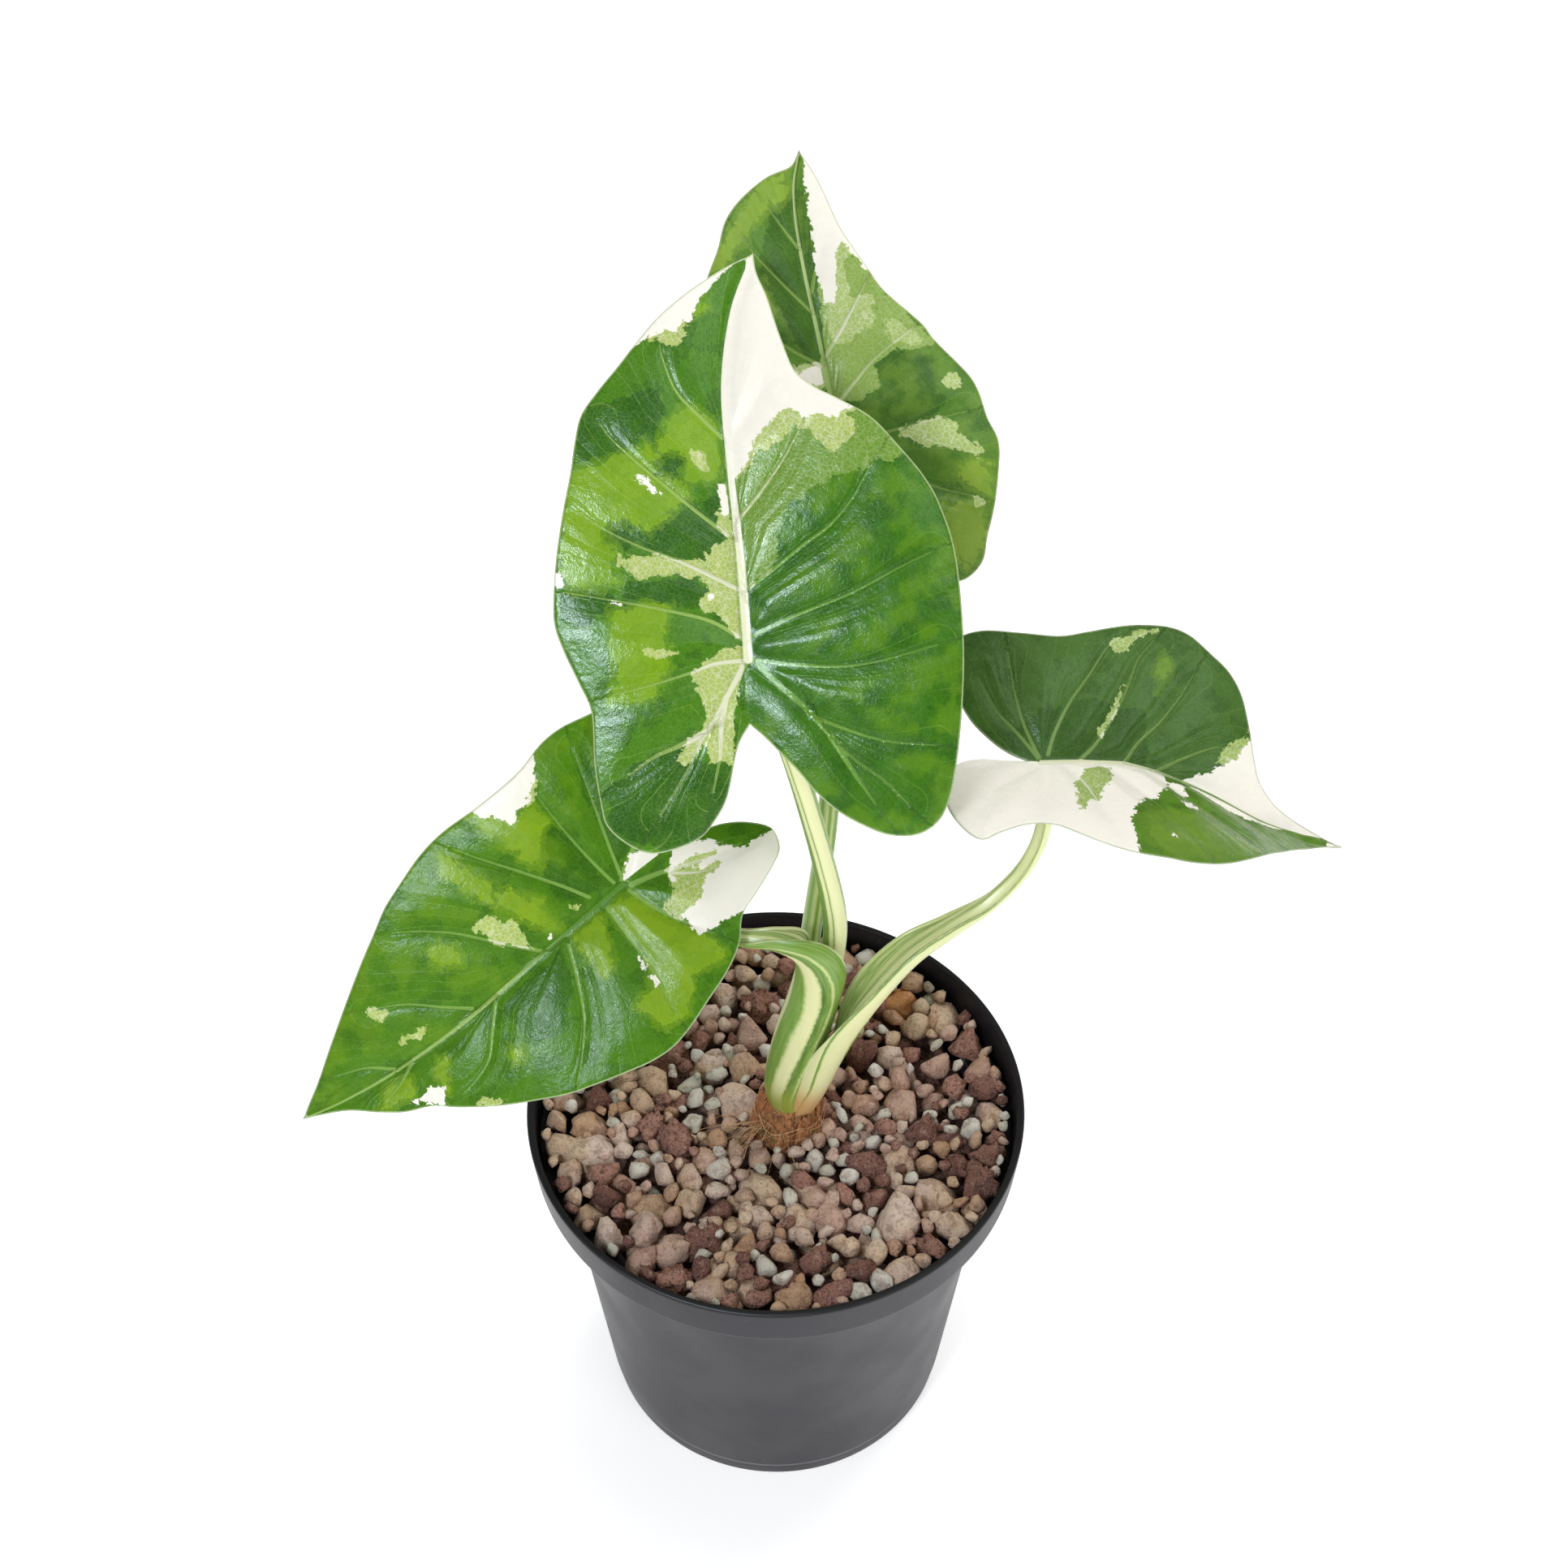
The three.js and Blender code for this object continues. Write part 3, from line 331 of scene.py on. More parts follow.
# %% Sizes and outlines of the four blades
BLADES = {
    "leaf_front": dict(
        at=(-5.3, 8, 242), yaw=92, pitch=46, roll=0, length=84, arch_tip=14, arch_lobe=14, fold_left=14,
        fold_right=14, curl=0.45, ripple=0.7, sinus=-13.4, rib=1.0,
        midrib=[(0, 0), (20, 1), (38, 2.6), (56, 3.6), (72, 1.4), (84.5, -3.2)],
        left=[(-18, 2.6), (-28, 5), (-33, 7.8), (-36.6, 11.4), (-38.8, 19.4), (-37.4, 24.6), (-33, 29.7),
              (-28, 31.1), (-20, 32.1), (-10, 32.4), (-4, 34.8), (2, 37.4), (8, 39), (15, 38.5), (22, 37.3),
              (30, 35.2), (38, 32.8), (45, 31.3), (50, 29.7), (55, 25.9), (60, 22.2), (65, 18.9), (70, 15.2),
              (75, 10.8), (80, 5.6)],
        right=[(-16, -3.1), (-19, -6.1), (-23, -10), (-27, -13.3), (-31, -17.8), (-34, -22.8), (-36.2, -28),
               (-36.6, -33.3), (-35, -37.2), (-31.5, -40), (-24, -42), (-10, -43.6), (4, -44.3), (20, -44),
               (30, -42), (36, -39.3), (42, -34.8), (48, -29.6), (52, -23.3), (55, -18.3), (58.5, -14.4),
               (65, -11.1), (70, -8.9), (75, -6.1), (80, -2.3)],
        left_veins=[
            [(-8, 5), (-14, 6), (-20, 6.5), (-27, 8)],
            [(-0.5, 0.5), (-6.3, 3.9), (-11.9, 7.2), (-15.8, 10), (-22.4, 13.3), (-30.8, 18.9)],
            [(-14.7, 9.4), (-16.9, 14.4), (-19.1, 20), (-22.4, 25)],
            [(-0.3, 1), (-0.8, 7), (-2.4, 11.7), (-4.7, 20), (-6.5, 28)],
            [(3.5, 0), (7.8, 7.2), (10.3, 16.7), (12, 25), (14.2, 36.7)],
            [(14.2, 1), (17.9, 8.3), (20.7, 14.4), (23.1, 20.6), (27, 27.8), (31.4, 33.3)],
            [(25.3, 2.2), (30.3, 8.3), (34.8, 13.3), (39.8, 18.9), (44.8, 23.9), (48.1, 26.1)],
            [(45.3, 1.1), (49.8, 5.6), (54.8, 10), (61.4, 13.3), (64.2, 14.2)]],
        right_veins=[
            [(-15.8, 16.7), (-23, 21.1), (-29.7, 25.6)],
            [(-0.2, 1.1), (-4.7, 5.6), (-9.7, 11.1), (-15.8, 16.7), (-20.2, 21.1), (-25.2, 27.8), (-29.7, 32.2)],
            [(-11.3, 12.2), (-14.1, 18.9), (-16.9, 27.8), (-18, 37.8)],
            [(-0.2, 1.7), (-1.3, 8.9), (-1.9, 18.9), (-0.8, 27.8), (2, 38.9)],
            [(4.2, 0.6), (6.1, 4.4), (9.2, 12.2), (12.8, 22.2), (17.6, 32.2), (20.6, 38.9)],
            [(14.2, 1.1), (18.1, 6.7), (22.8, 13.3), (26.4, 18.9), (31.4, 23.9), (37, 27.8), (39.2, 29.4)],
            [(28.1, 0.2), (33.7, 5.6), (40.3, 11.1), (46.4, 15)],
            [(45, 0), (52, 6), (60, 9)]],
    ),
    "leaf_rear": dict(
        at=(14.4, 54.7, 255.8), yaw=103, pitch=46, roll=4, length=73, arch_tip=14, arch_lobe=14, fold_left=14,
        fold_right=14, curl=0.45, ripple=0.6, sinus=-11, rib=0.6,
        midrib=[(0, 0), (22, 0.6), (44, 1.2), (58.5, 0), (67.8, -3.3)],
        left=[(-17, 4), (-26, 10), (-30, 19), (-26.5, 27), (-16, 32), (-2, 35), (12, 34.6), (26, 30),
              (36, 25), (42, 21.7), (47, 18.9), (52.6, 16.7), (57, 12.8), (61.4, 7.2), (64, 1.7)],
        right=[(-17, -5), (-26, -13), (-28.9, -21.7), (-25.8, -27.2), (-20.2, -29.1), (-14.7, -31.1),
               (-8, -32.8), (-1.3, -33.9), (4.2, -32.4), (9.8, -31.7), (14.2, -30), (22, -24.4), (25.9, -22.2),
               (33.7, -15.6), (39.8, -12.8), (47.6, -9.4), (52.6, -7.8), (57.6, -6.4), (61.4, -4.4), (65.3, -1.7)],
        left_veins=[
            [(-0.5, 0.5), (-8, 6), (-16, 13), (-23, 20)],
            [(-0.3, 1), (-4, 10), (-9, 20), (-12, 28)],
            [(2, 1), (3, 10), (3, 20), (4, 31)],
            [(9, 0.5), (13, 8), (17, 16), (22, 27)],
            [(20, 0.5), (25, 8), (30, 14), (36, 21)],
            [(32, 0.5), (38, 5.5), (45.3, 11), (50, 14)],
            [(46, 0.5), (51, 4), (57, 8)]],
        right_veins=[
            [(-0.5, 0.5), (-8, 6), (-16, 13), (-22, 20)],
            [(-0.3, 1), (-4, 10), (-9, 20), (-12, 28)],
            [(2, 1), (4, 9), (5, 17), (6, 28)],
            [(11, 0.5), (16, 6), (20, 11), (25, 20)],
            [(22, 0.5), (27, 5), (32, 9), (36, 12)],
            [(36, 0.5), (42, 3), (48, 6)]],
    ),
    "leaf_left": dict(
        at=(-33.6, 4, 176.6), yaw=213.5, pitch=-19.7, roll=-35.9, length=88, arch_tip=26.1, arch_lobe=14,
        fold_left=11.3, fold_right=11.9, curl=0.3, ripple=0.7, sinus=-13, rib=0.6,
        midrib=[(0, 0), (22, 1.2), (46, 2.6), (66, 2), (80, 0.2), (91.9, -2.3)],
        left=[(-17, 0.8), (-23, 1.7), (-27.4, 3.6), (-31.3, 6.7), (-33.9, 10.6), (-32.4, 15), (-28.6, 17.2),
              (-22, 19.6), (-16.3, 21.7), (-11.9, 26.2), (-6.3, 29.4), (1.4, 32), (7, 33.6), (12.6, 34.5),
              (18.1, 33.9), (24.2, 32), (30.3, 29.8), (37, 27.2), (43.7, 23.6), (51, 19.8), (58.7, 15),
              (63.7, 11.2), (69.8, 9), (75, 6), (81.4, 2.2)],
        right=[(-22, -3), (-32, -9), (-37, -18), (-34, -27.5), (-25.5, -32.8), (-16.3, -34.7), (-9.7, -36),
               (-4.1, -35.8), (2.6, -34.2), (9.2, -34), (15.9, -34.3), (24, -35), (31, -34.4), (39.2, -32.2),
               (44.2, -30.6), (49.2, -27.8), (55.3, -24.4), (64.8, -18.9), (74.8, -12.2), (83, -6.2)],
        left_veins=[
            [(-1.3, 1.1), (-7.4, 2.8), (-13, 5), (-20.8, 7.8), (-26.3, 8.9)],
            [(-9.7, 4.4), (-14.1, 7.8), (-18.6, 10)],
            [(-0.2, 1.7), (-2.4, 8.9), (-5.8, 15.6), (-9, 21)],
            [(5.9, 1.7), (6.1, 12.2), (6.8, 20), (8, 30)],
            [(17.6, 2.2), (20.9, 10), (24.8, 17.2), (30.3, 23.3), (34.2, 26.7)],
            [(38.1, 1.1), (42.6, 5.6), (47, 10), (52.6, 12.2), (56.4, 12.8)],
            [(62, 0.5), (67, 3), (73, 5)]],
        right_veins=[
            [(-0.5, 1), (-8, 6), (-18, 12), (-30, 18)],
            [(-0.5, 1), (-3, 10), (-6, 20), (-9, 30)],
            [(1.4, 1.7), (2.3, 7.8), (3.1, 17.8), (3.1, 27.8)],
            [(7.6, 2.8), (10.9, 8.9), (16.4, 17.8), (21.4, 25.6), (24.2, 30.6)],
            [(23.1, 0.6), (28.1, 6.7), (34.8, 15.6), (40.3, 21.1), (45.9, 25.6)],
            [(43.1, 1.1), (48.1, 5.6), (54.2, 11.1), (61.4, 15)],
            [(66, 0.5), (71, 4), (78, 6)]],
    ),
    "leaf_right": dict(
        at=(57.8, 16, 203), yaw=-1.7, pitch=-5.7, roll=4.4, length=72, arch_tip=33, arch_lobe=14,
        fold_left=27.6, fold_right=27, curl=0.2, ripple=0.6, sinus=-3, rib=0.6,
        midrib=[(0, 0), (12, 2), (22, 3), (38, 0.6), (52, -2), (64, -1), (77.6, 2.6)],
        left=[(-7, 1.6), (-11, 4.4), (-15.5, 9), (-18.6, 15), (-20, 21.5), (-18.5, 26.5), (-13.6, 28.7),
              (-6, 28.9), (2, 29), (8, 30.2), (13, 31.5), (18, 32.6), (24, 33.4), (29, 33.2), (34.2, 30.6),
              (38.7, 28.3), (42.4, 24.6), (45.6, 18.5), (48, 12.8), (50.5, 8.2), (55, 4.6), (62, 2.2), (70, 0.8)],
        right=[(-8, -0.8), (-14, -1.2), (-18.5, -4.5), (-20.5, -13), (-20.4, -22), (-17.6, -31),
               (-14.1, -36.1), (-10.2, -33.3), (-5, -30), (0, -29.4), (4.2, -32.6), (8.7, -36), (14, -38.4),
               (20, -39), (26, -38.2), (33.1, -34.4), (40, -28), (48, -18.8), (56, -11), (63, -6), (70, -2.7)],
        left_veins=[
            [(-0.8, 1.1), (-5.8, 6.7), (-10, 11), (-14, 18)],
            [(-0.4, 1), (-4, 8), (-6.5, 16), (-8, 24)],
            [(1.4, 1.7), (2.6, 6.7), (5.3, 13.3), (9.2, 20), (12.6, 26.7), (15.3, 29.4)],
            [(8.7, 0.6), (12, 4.4), (15.3, 11.1), (17.6, 17.8), (19.2, 24.4), (22, 29)],
            [(18.7, 0.6), (21.4, 5.6), (25.3, 11.1), (28.7, 17.8), (31, 24)],
            [(26.4, 0.6), (32, 5.6), (37.6, 10), (40.9, 11.7)]],
        right_veins=[
            [(-0.8, 1.1), (-6, 8), (-11, 16), (-14, 26)],
            [(0.5, 1.5), (0, 10), (-1, 18), (-2, 26)],
            [(5, 1), (8, 10), (10, 20), (12, 32)],
            [(14, 1), (18, 9), (22, 17), (27, 28)],
            [(24, 0.6), (30, 7), (36, 13), (42, 19)],
            [(36, 0.6), (43, 5), (50, 9)]],
    ),
}

# %% [markdown]
# ## The blades: the marbling
#
# Variegation comes from cells that lost part of their green. They grow in sectors between the veins, so
# the patches are irregular, with stepped edges that follow the finest veins. Painting them would need
# an image. Here each patch is a rough outline in u and w, and the material reads how deep a point lies
# inside it. The order is that of the list: a later patch cuts away an earlier one. Lime and dark are
# cloudy zones of the green itself, so they cut only each other.

# %% Patches of each blade
MARBLING = {
    "leaf_front": [
        ("moss", [(42, -0.6), (46, -8), (48, -14), (47, -22), (50, -28), (48, -32), (44.2, -34.4), (42.6, -36.5),
                  (40.5, -36.5), (39, -32.4), (39.8, -29.8), (37.6, -28.3), (37.3, -26.7), (36.8, -22.8),
                  (35.9, -20), (34.8, -17.8), (32.6, -14.4), (30.1, -10.6), (28.1, -10), (24.8, -7.8),
                  (21.4, -8), (17.6, -5.6), (16.4, -3.3), (14.2, -1.7), (14.8, -0.3), (25, 0.3), (36, 0.3)]),
        ("sage", [(29.2, 3.9), (27, 4.4), (24.8, 2.2), (23.1, 5), (21.4, 6.9), (20, 7.2), (19.9, 11.1),
                  (21.2, 16.7), (21.2, 23.3), (20.3, 24.2), (18.1, 23.3), (15.9, 20.9), (16.6, 17.8), (17.2, 13.3),
                  (16.6, 9.4), (14.6, 7.2), (12.8, 6.9), (11.4, 9.8), (10.1, 9.3), (9.4, 6.1), (7.2, 3.9),
                  (3.9, 1.3), (9.2, 0.2), (20.3, 0.2), (28.1, 0.4)]),
        ("sage", [(2.6, 0.4), (2.6, 5), (0.9, 7.2), (-1.6, 11.1), (-3, 12), (-5, 11.4), (-6.9, 9.8), (-11.3, 8.9),
                  (-13.9, 9.7), (-15.4, 12.8), (-18, 14.7), (-19.9, 15.8), (-21.1, 13.9), (-19.1, 11.4),
                  (-16.9, 9.1), (-20.8, 8.7), (-20.8, 6.1), (-21, 3.8), (-17.4, 3.3), (-11.9, 3.3), (-6.9, 2.4),
                  (-1.9, 0.9)]),
        ("sage", [(42.6, 8.3), (42.1, 4.8), (38.3, 4.8), (39, 6.5), (41, 7.8)]),
        ("sage", [(66.8, 16.4), (67.9, 14.4), (68.3, 11.7), (67.2, 9.8), (65.9, 8.9), (64.2, 10.2), (64.2, 12.8),
                  (65.7, 14.7)]),
        ("sage", [(38.1, -1.6), (45, -5.5), (50.3, -12.2), (49.9, -14.7), (48.6, -15.8), (49, -18.9), (49.4, -24.2),
                  (47.5, -26.5), (45, -26), (43, -24), (41, -21.7), (42, -20), (44, -18.3), (46, -17.3),
                  (46.5, -15.5), (46.7, -13.5), (44.2, -11.1), (42, -7.5), (42.3, -5.5), (39.5, -3.5)]),
        ("cream", [(80.3, 0.3), (74.8, 0.3), (68, 0.3), (61.4, 0.3), (54.8, 0.3), (48, 0.6), (42.6, 0.4), (37, 0.2),
                   (37, -1), (38.1, -2), (39.8, -3.3), (42, -4.1), (45, -6.1), (48.1, -8.9), (50.3, -12.8),
                   (49.9, -14.7), (48.6, -15.8), (49, -18.9), (48.3, -22.8), (49.4, -24.2), (50.9, -26.7),
                   (53.7, -30), (64.8, -18), (78.1, -9), (88, -1), (88, 2)]),
        ("cream", [(83.5, 1.6), (81, 3.6), (79, 5), (77, 6), (75, 6.8), (73.5, 7.6), (70.9, 8.2), (68.7, 8.4),
                   (69.3, 10), (67.6, 11), (67.3, 13), (66.8, 15), (65.5, 17), (63.5, 20), (68.1, 24),
                   (76, 18), (83, 10), (87, 2)]),
        ("cream", [(37.5, 19.6), (36.8, 17.8), (35.2, 16.4), (33.6, 15.2), (33.2, 16.8), (35, 17.8), (35.9, 19.6)]),
        ("cream", [(12.9, 27.2), (11.6, 24.4), (10.9, 24.6), (12, 27.4)]),
        ("sage", [(2.6, 21.2), (2.2, 14), (0.6, 14.4), (1.2, 21)]),
        ("cream", [(15.9, 40.5), (18.1, 39.5), (17.6, 37), (15.9, 35.8), (14.8, 36.7)]),
        ("cream", [(20.6, 25.4), (20.6, 24.6), (19.9, 24.6), (19.9, 25.4)]),
        ("cream", [(12.8, 7), (12.8, 6.3), (12, 6.3), (12, 7)]),
        ("cream", [(35.6, 3), (35.6, 1.4), (30, 1.2), (29.5, 2.6), (33, 3.1)]),
        ("lime", [(38.5, 33), (39.5, 28), (40.5, 24), (46.5, 21.5), (47, 19.5), (44, 17), (41.5, 14), (38, 11),
                  (34, 9.5), (31, 12), (28.5, 14), (26, 19), (27.5, 24), (25, 26), (21.5, 25), (17.5, 27), (16, 25),
                  (15, 30), (15, 35), (18, 36.5), (26, 35.8), (33, 34)]),
        ("lime", [(11, 15), (11.5, 20), (10, 27), (6, 28), (1, 28), (-4, 27), (-8, 29), (-7, 20), (-3, 17), (2, 16),
                  (6, 17)]),
        ("lime", [(48, 12), (52, 8), (49, 3), (40, 2), (37, 3), (36, 8), (38, 12), (43, 15)]),
        ("lime", [(74, 7), (72, 5), (70, 8)]),
        ("dark", [(28.5, 22.5), (27.5, 27), (24, 27.5), (22.5, 24.5), (23.5, 21), (26.5, 20.5)]),
        ("dark", [(42, 13), (41, 8.5), (36, 10.5), (37, 16.5), (40, 16)]),
        ("dark", [(52, 29), (53, 20), (55, 14), (50, 11), (47, 14), (43, 18), (40.5, 24), (40, 31), (45, 31)]),
        ("dark", [(30, 13), (33, 3.5), (24, 3), (20, 6), (20.5, 12), (22, 17), (24, 22), (27, 26), (28, 22), (26, 18)]),
        ("dark", [(17, 24), (16.5, 17), (17, 10), (13, 7), (10.5, 9), (10.8, 16), (12, 22), (14, 28), (14.5, 37),
                  (9, 38), (7, 33), (10, 28), (12, 26)]),
        ("dark", [(-15, 11), (-18, 18), (-20, 24), (-26, 30), (-33, 29), (-39, 19), (-36, 10), (-28, 5), (-21, 4),
                  (-21, 9), (-20, 13)]),
    ],
    "leaf_rear": [
        ("moss", [(33, -1.5), (45.5, -8.5), (44, -10.5), (41, -12.5), (37, -14), (33, -16), (28, -19.5), (22, -24),
                  (20.3, -24.5), (20.5, -21), (21, -15), (19, -10.5), (16, -10), (14, -10.5), (13, -8.5),
                  (11.5, -5), (12.5, -0.5), (20, -0.5)]),
        ("sage", [(46, -8.6), (43, -10.8), (41, -8.5), (37, -8), (33.5, -8.5), (33, -12.5), (29, -12.8),
                  (26.5, -11.5), (26, -9), (24.5, -7), (24, -3), (30, -2), (36, -5), (40, -6)]),
        ("sage", [(28, -13.5), (27.5, -16.5), (24.5, -19.5), (22.5, -22), (21.5, -19), (22.5, -15.5)]),
        ("sage", [(4.2, -12), (5.5, -17), (6, -22), (4, -26), (2, -25), (-0.5, -28), (-3, -31), (-3.5, -28),
                  (-0.8, -22), (-0.3, -17.8), (1.5, -14.5)]),
        ("sage", [(15, -26), (14.5, -27.6), (11.5, -28), (11, -24.5), (12.5, -23.6)]),
        ("sage", [(-11, -27), (-13, -29.5), (-13.5, -27)]),
        ("sage", [(21, 0.5), (21, 6), (19, 9.5), (14.5, 9), (15, 4), (16, 0.5)]),
        ("cream", [(66, -1.2), (57, -2.6), (40, -2.6), (33.5, -2.6), (32.5, -4.5), (36, -5.5), (42, -6.7),
                   (45.5, -8.5), (45, -9.5), (42, -11), (38, -13), (41, -15), (50, -12), (60, -9), (69, -3)]),
        ("cream", [(20, 1), (19.6, 6), (18, 8), (16.2, 7), (16.5, 1)]),
        ("lime", [(64, 2), (60, 8), (53, 14), (45, 20), (42, 22), (42, 18), (48, 14), (54, 8), (60, 3)]),
        ("lime", [(-12, -20), (-22, -18), (-26, -24), (-20, -29), (-13, -27)]),
        ("lime", [(36, 3), (40, 8), (36, 12), (30, 8)]),
        ("lime", [(60, 1), (60, 4), (56, 6), (54, 3), (56, 0.5)]),
        ("lime", [(-5, -24), (-9, -25), (-12, -31), (-6, -31), (-4, -28)]),
        ("dark", [(60, -2), (56, 4), (50, 8), (45, 10), (38, 11), (30, 8), (20, 3), (18, 0), (22, -1.5), (35, -2.5),
                  (50, -3)]),
        ("dark", [(21, -12), (20.5, -19), (18, -24), (12, -23), (8, -25), (6, -21), (4.5, -14), (8, -10), (12, -9.5),
                  (17, -10)]),
    ],
    "leaf_left": [
        ("sage", [(24.2, -2), (28.1, -6.7), (30.3, -8.9), (31.7, -15), (29.2, -15.3), (27, -15), (25.9, -11.1),
                  (23.7, -10.6), (24.2, -4.4), (23.1, -1.3)]),
        ("sage", [(60.9, -10.6), (62.3, -15), (60.9, -15), (58.7, -12.8), (58.1, -11.1)]),
        ("sage", [(60.9, -4.4), (59.2, -5.8), (57, -5.3), (53.7, -4.4), (54.8, -2.8), (57, -2.2), (58.1, -3.6)]),
        ("sage", [(52.6, 19.4), (55.3, 16.1), (52.6, 16.1), (48.1, 20)]),
        ("sage", [(4.4, -29), (1.6, -30.4), (0.6, -29.5), (2.6, -27.2), (4.6, -27)]),
        ("sage", [(11, -2), (13, -4), (12.5, -4.8), (10, -3)]),
        ("cream", [(16.1, -33.3), (15.3, -31.7), (13.9, -31.1), (12.3, -28.9), (10.9, -25.6), (9.8, -25.8),
                   (8.7, -27.4), (6.4, -27.8), (4.2, -28), (2, -29.4), (1.2, -31.1), (-0.8, -33.3), (-2, -36),
                   (5, -40), (14, -40), (18, -37)]),
        ("cream", [(-5.8, 13), (-6, 19), (-13, 20), (-20, 21.5), (-29, 19.5), (-37, 12), (-34, 5), (-27, 2),
                   (-18.6, 0), (-14, 0), (-11.3, 2.2), (-9, 5), (-8, 9)]),
        ("cream", [(67.6, 7.8), (64.8, 9.8), (61.4, 12.6), (58.7, 8.9), (60.9, 7.2), (63.7, 7.8)]),
        ("cream", [(8.1, 21.7), (8.1, 20), (7.6, 14.4), (6.8, 14.2), (7, 21.7)]),
        ("cream", [(-0.2, -0.5), (-3, -3.3), (-5.2, -4.4), (-9.7, -2.2), (-10.5, -0.5)]),
        ("cream", [(20.2, -1.4), (20.2, -2), (19.4, -2), (19.4, -1.4)]),
        ("green", [(-20.8, 3.9), (-18.6, 1.7), (-23, 0), (-28.6, 2.5), (-33, 6), (-35, 10.6), (-30.8, 10.6),
                   (-26.3, 9.8), (-23.6, 7.8)]),
        ("sage", [(-4.1, 12.8), (-3.6, 9.4), (-6.3, 8.9), (-9.7, 6.7), (-10.2, 4.4), (-13, 5), (-15.2, 7.8),
                  (-19.1, 8.3), (-19.7, 9.8), (-15.2, 10), (-11.9, 12.8), (-7.4, 13.3)]),
        ("sage", [(-10.8, 4.4), (-15.2, 3.9), (-20.8, 6.7), (-20.8, 7.8), (-14.1, 6.1)]),
        ("green", [(-0.8, 2.2), (-7.4, 3.9), (-9.7, 4.4), (-6.3, 1.7)]),
        ("lime", [(8.1, 31.1), (11.4, 30), (12.3, 26.7), (14.2, 22.2), (11.4, 21.7), (9.2, 22.2), (6.4, 17.8),
                  (5.9, 12.8), (5.7, 2.2), (2.6, 1.7), (-0.6, 3.3), (-3, 11.1), (-5.8, 15.6), (-6.9, 20.6),
                  (-8, 26.1), (-3, 26.1), (0.3, 25.6), (2.6, 27.8), (5.9, 30.6)]),
        ("lime", [(14.8, 12.8), (16.4, 6.7), (15.3, 1.7), (8.1, 1.7), (10.3, 6.7), (11.4, 11.7)]),
        ("lime", [(17, -1.7), (20.9, -6.7), (23.1, -16.7), (20.3, -15.6), (18.7, -11.1), (16.4, -8.9), (17.6, -4.4)]),
        ("lime", [(24.8, -15.6), (27.6, -22.2), (29.2, -27.8), (28.1, -31.7), (24.8, -30), (25.9, -26.7),
                  (24.2, -22.2), (23.7, -17.8)]),
        ("lime", [(41.4, -12.2), (42.8, -14.4), (42.3, -17.8), (40.3, -17.2), (37.6, -14.4), (38.1, -10)]),
        ("lime", [(42.6, 14.4), (42.9, 11.7), (40.9, 10.9), (39.2, 13.3), (40.9, 14.7)]),
        ("lime", [(58.7, 10.6), (58.7, 6.7), (56.4, 3.3), (54.6, 3.9), (56.4, 6.7), (57.6, 8.9)]),
        ("lime", [(15, -20), (12, -15), (8, -20), (5, -26), (9, -24)]),
        ("lime", [(14.2, -22), (17, -30), (18, -38), (12, -38), (9, -27), (5, -26), (4, -20), (8, -16), (12, -17)]),
        ("lime", [(74, 6), (70, 2), (64, 3), (66, 7)]),
        ("dark", [(36, 14), (38, 3), (20, 2), (22, 10), (30, 16)]),
        ("dark", [(14, -6), (12, -14), (8, -20), (3, -22), (2, -6), (6, -3)]),
        ("dark", [(0, -4), (-3, -12), (-5, -22), (-10, -30), (-16, -34), (-24, -24), (-14, -8)]),
    ],
    "leaf_right": [
        ("cream", [(31.5, 0), (35.3, 2.8), (38.1, 4.4), (40, 6.7), (43.7, 10.5), (45.4, 16), (52, 18), (70, 8),
                   (82, 0)]),
        ("sage", [(45.4, 18), (45.4, 15), (43.7, 10.6), (39.8, 8.5), (41.5, 13)]),
        ("sage", [(23.1, 32), (18, 31), (13, 28), (13.7, 24.5), (16, 25), (19, 29)]),
        ("sage", [(13, 6), (15, 11), (17.4, 18), (16.4, 18), (14, 11.5), (12, 6.5)]),
        ("cream", [(-30, 0), (85, 0), (85, -45), (-30, -45)]),
        ("green", [(72, 0.5), (60, 0), (52, -2.8), (46, -5), (42, -5), (38, -2.5), (34, -0.5), (28, 0),
                   (27.5, -4), (27, -8), (24, -12), (22.5, -15.5), (20, -15.5), (18, -20), (15.5, -26), (15, -32),
                   (16, -40), (25, -43), (40, -32), (60, -12), (72, -3)]),
        ("cream", [(31.5, -3), (31.5, -8), (29, -9), (27.5, -6), (28.5, -3)]),
        ("cream", [(32, -10), (31.5, -14), (29, -16), (28.5, -13), (30.5, -11)]),
        ("cream", [(23.6, -30.6), (23.6, -31.4), (22.9, -31.4), (22.9, -30.6)]),
        ("sage", [(15.1, -2.4), (14, -7.8), (13.7, -10), (10.9, -15.6), (9.8, -18.9), (8.1, -17.8), (6.4, -23.3),
                  (5.3, -23.9), (5.6, -17.8), (5.9, -12.2), (7.6, -6.7), (9.2, -4.4), (10.9, -3.9), (13.1, -2.8)]),
        ("lime", [(30, -18), (24, -20), (19, -24), (18, -34), (24, -38), (34, -32), (44, -22)]),
        ("lime", [(26, 24), (24, 18), (23, 20), (24, 27)]),
        ("dark", [(24, 0.5), (22, 12), (10, 14), (0, 12), (-8, 6), (-2, 0.5), (10, 0.5)]),
    ],
}
TONES = ("moss", "sage", "cream", "green")
SOFT_TONES = ("lime", "dark")
PALER = {"moss": ("sage", "cream"), "sage": ("cream",)}
OUTSIDE = -9.0
RUN_UNDER, RUN_OUT = 0.8, 1.5
print("patches:", {name: len(patches) for name, patches in MARBLING.items()})

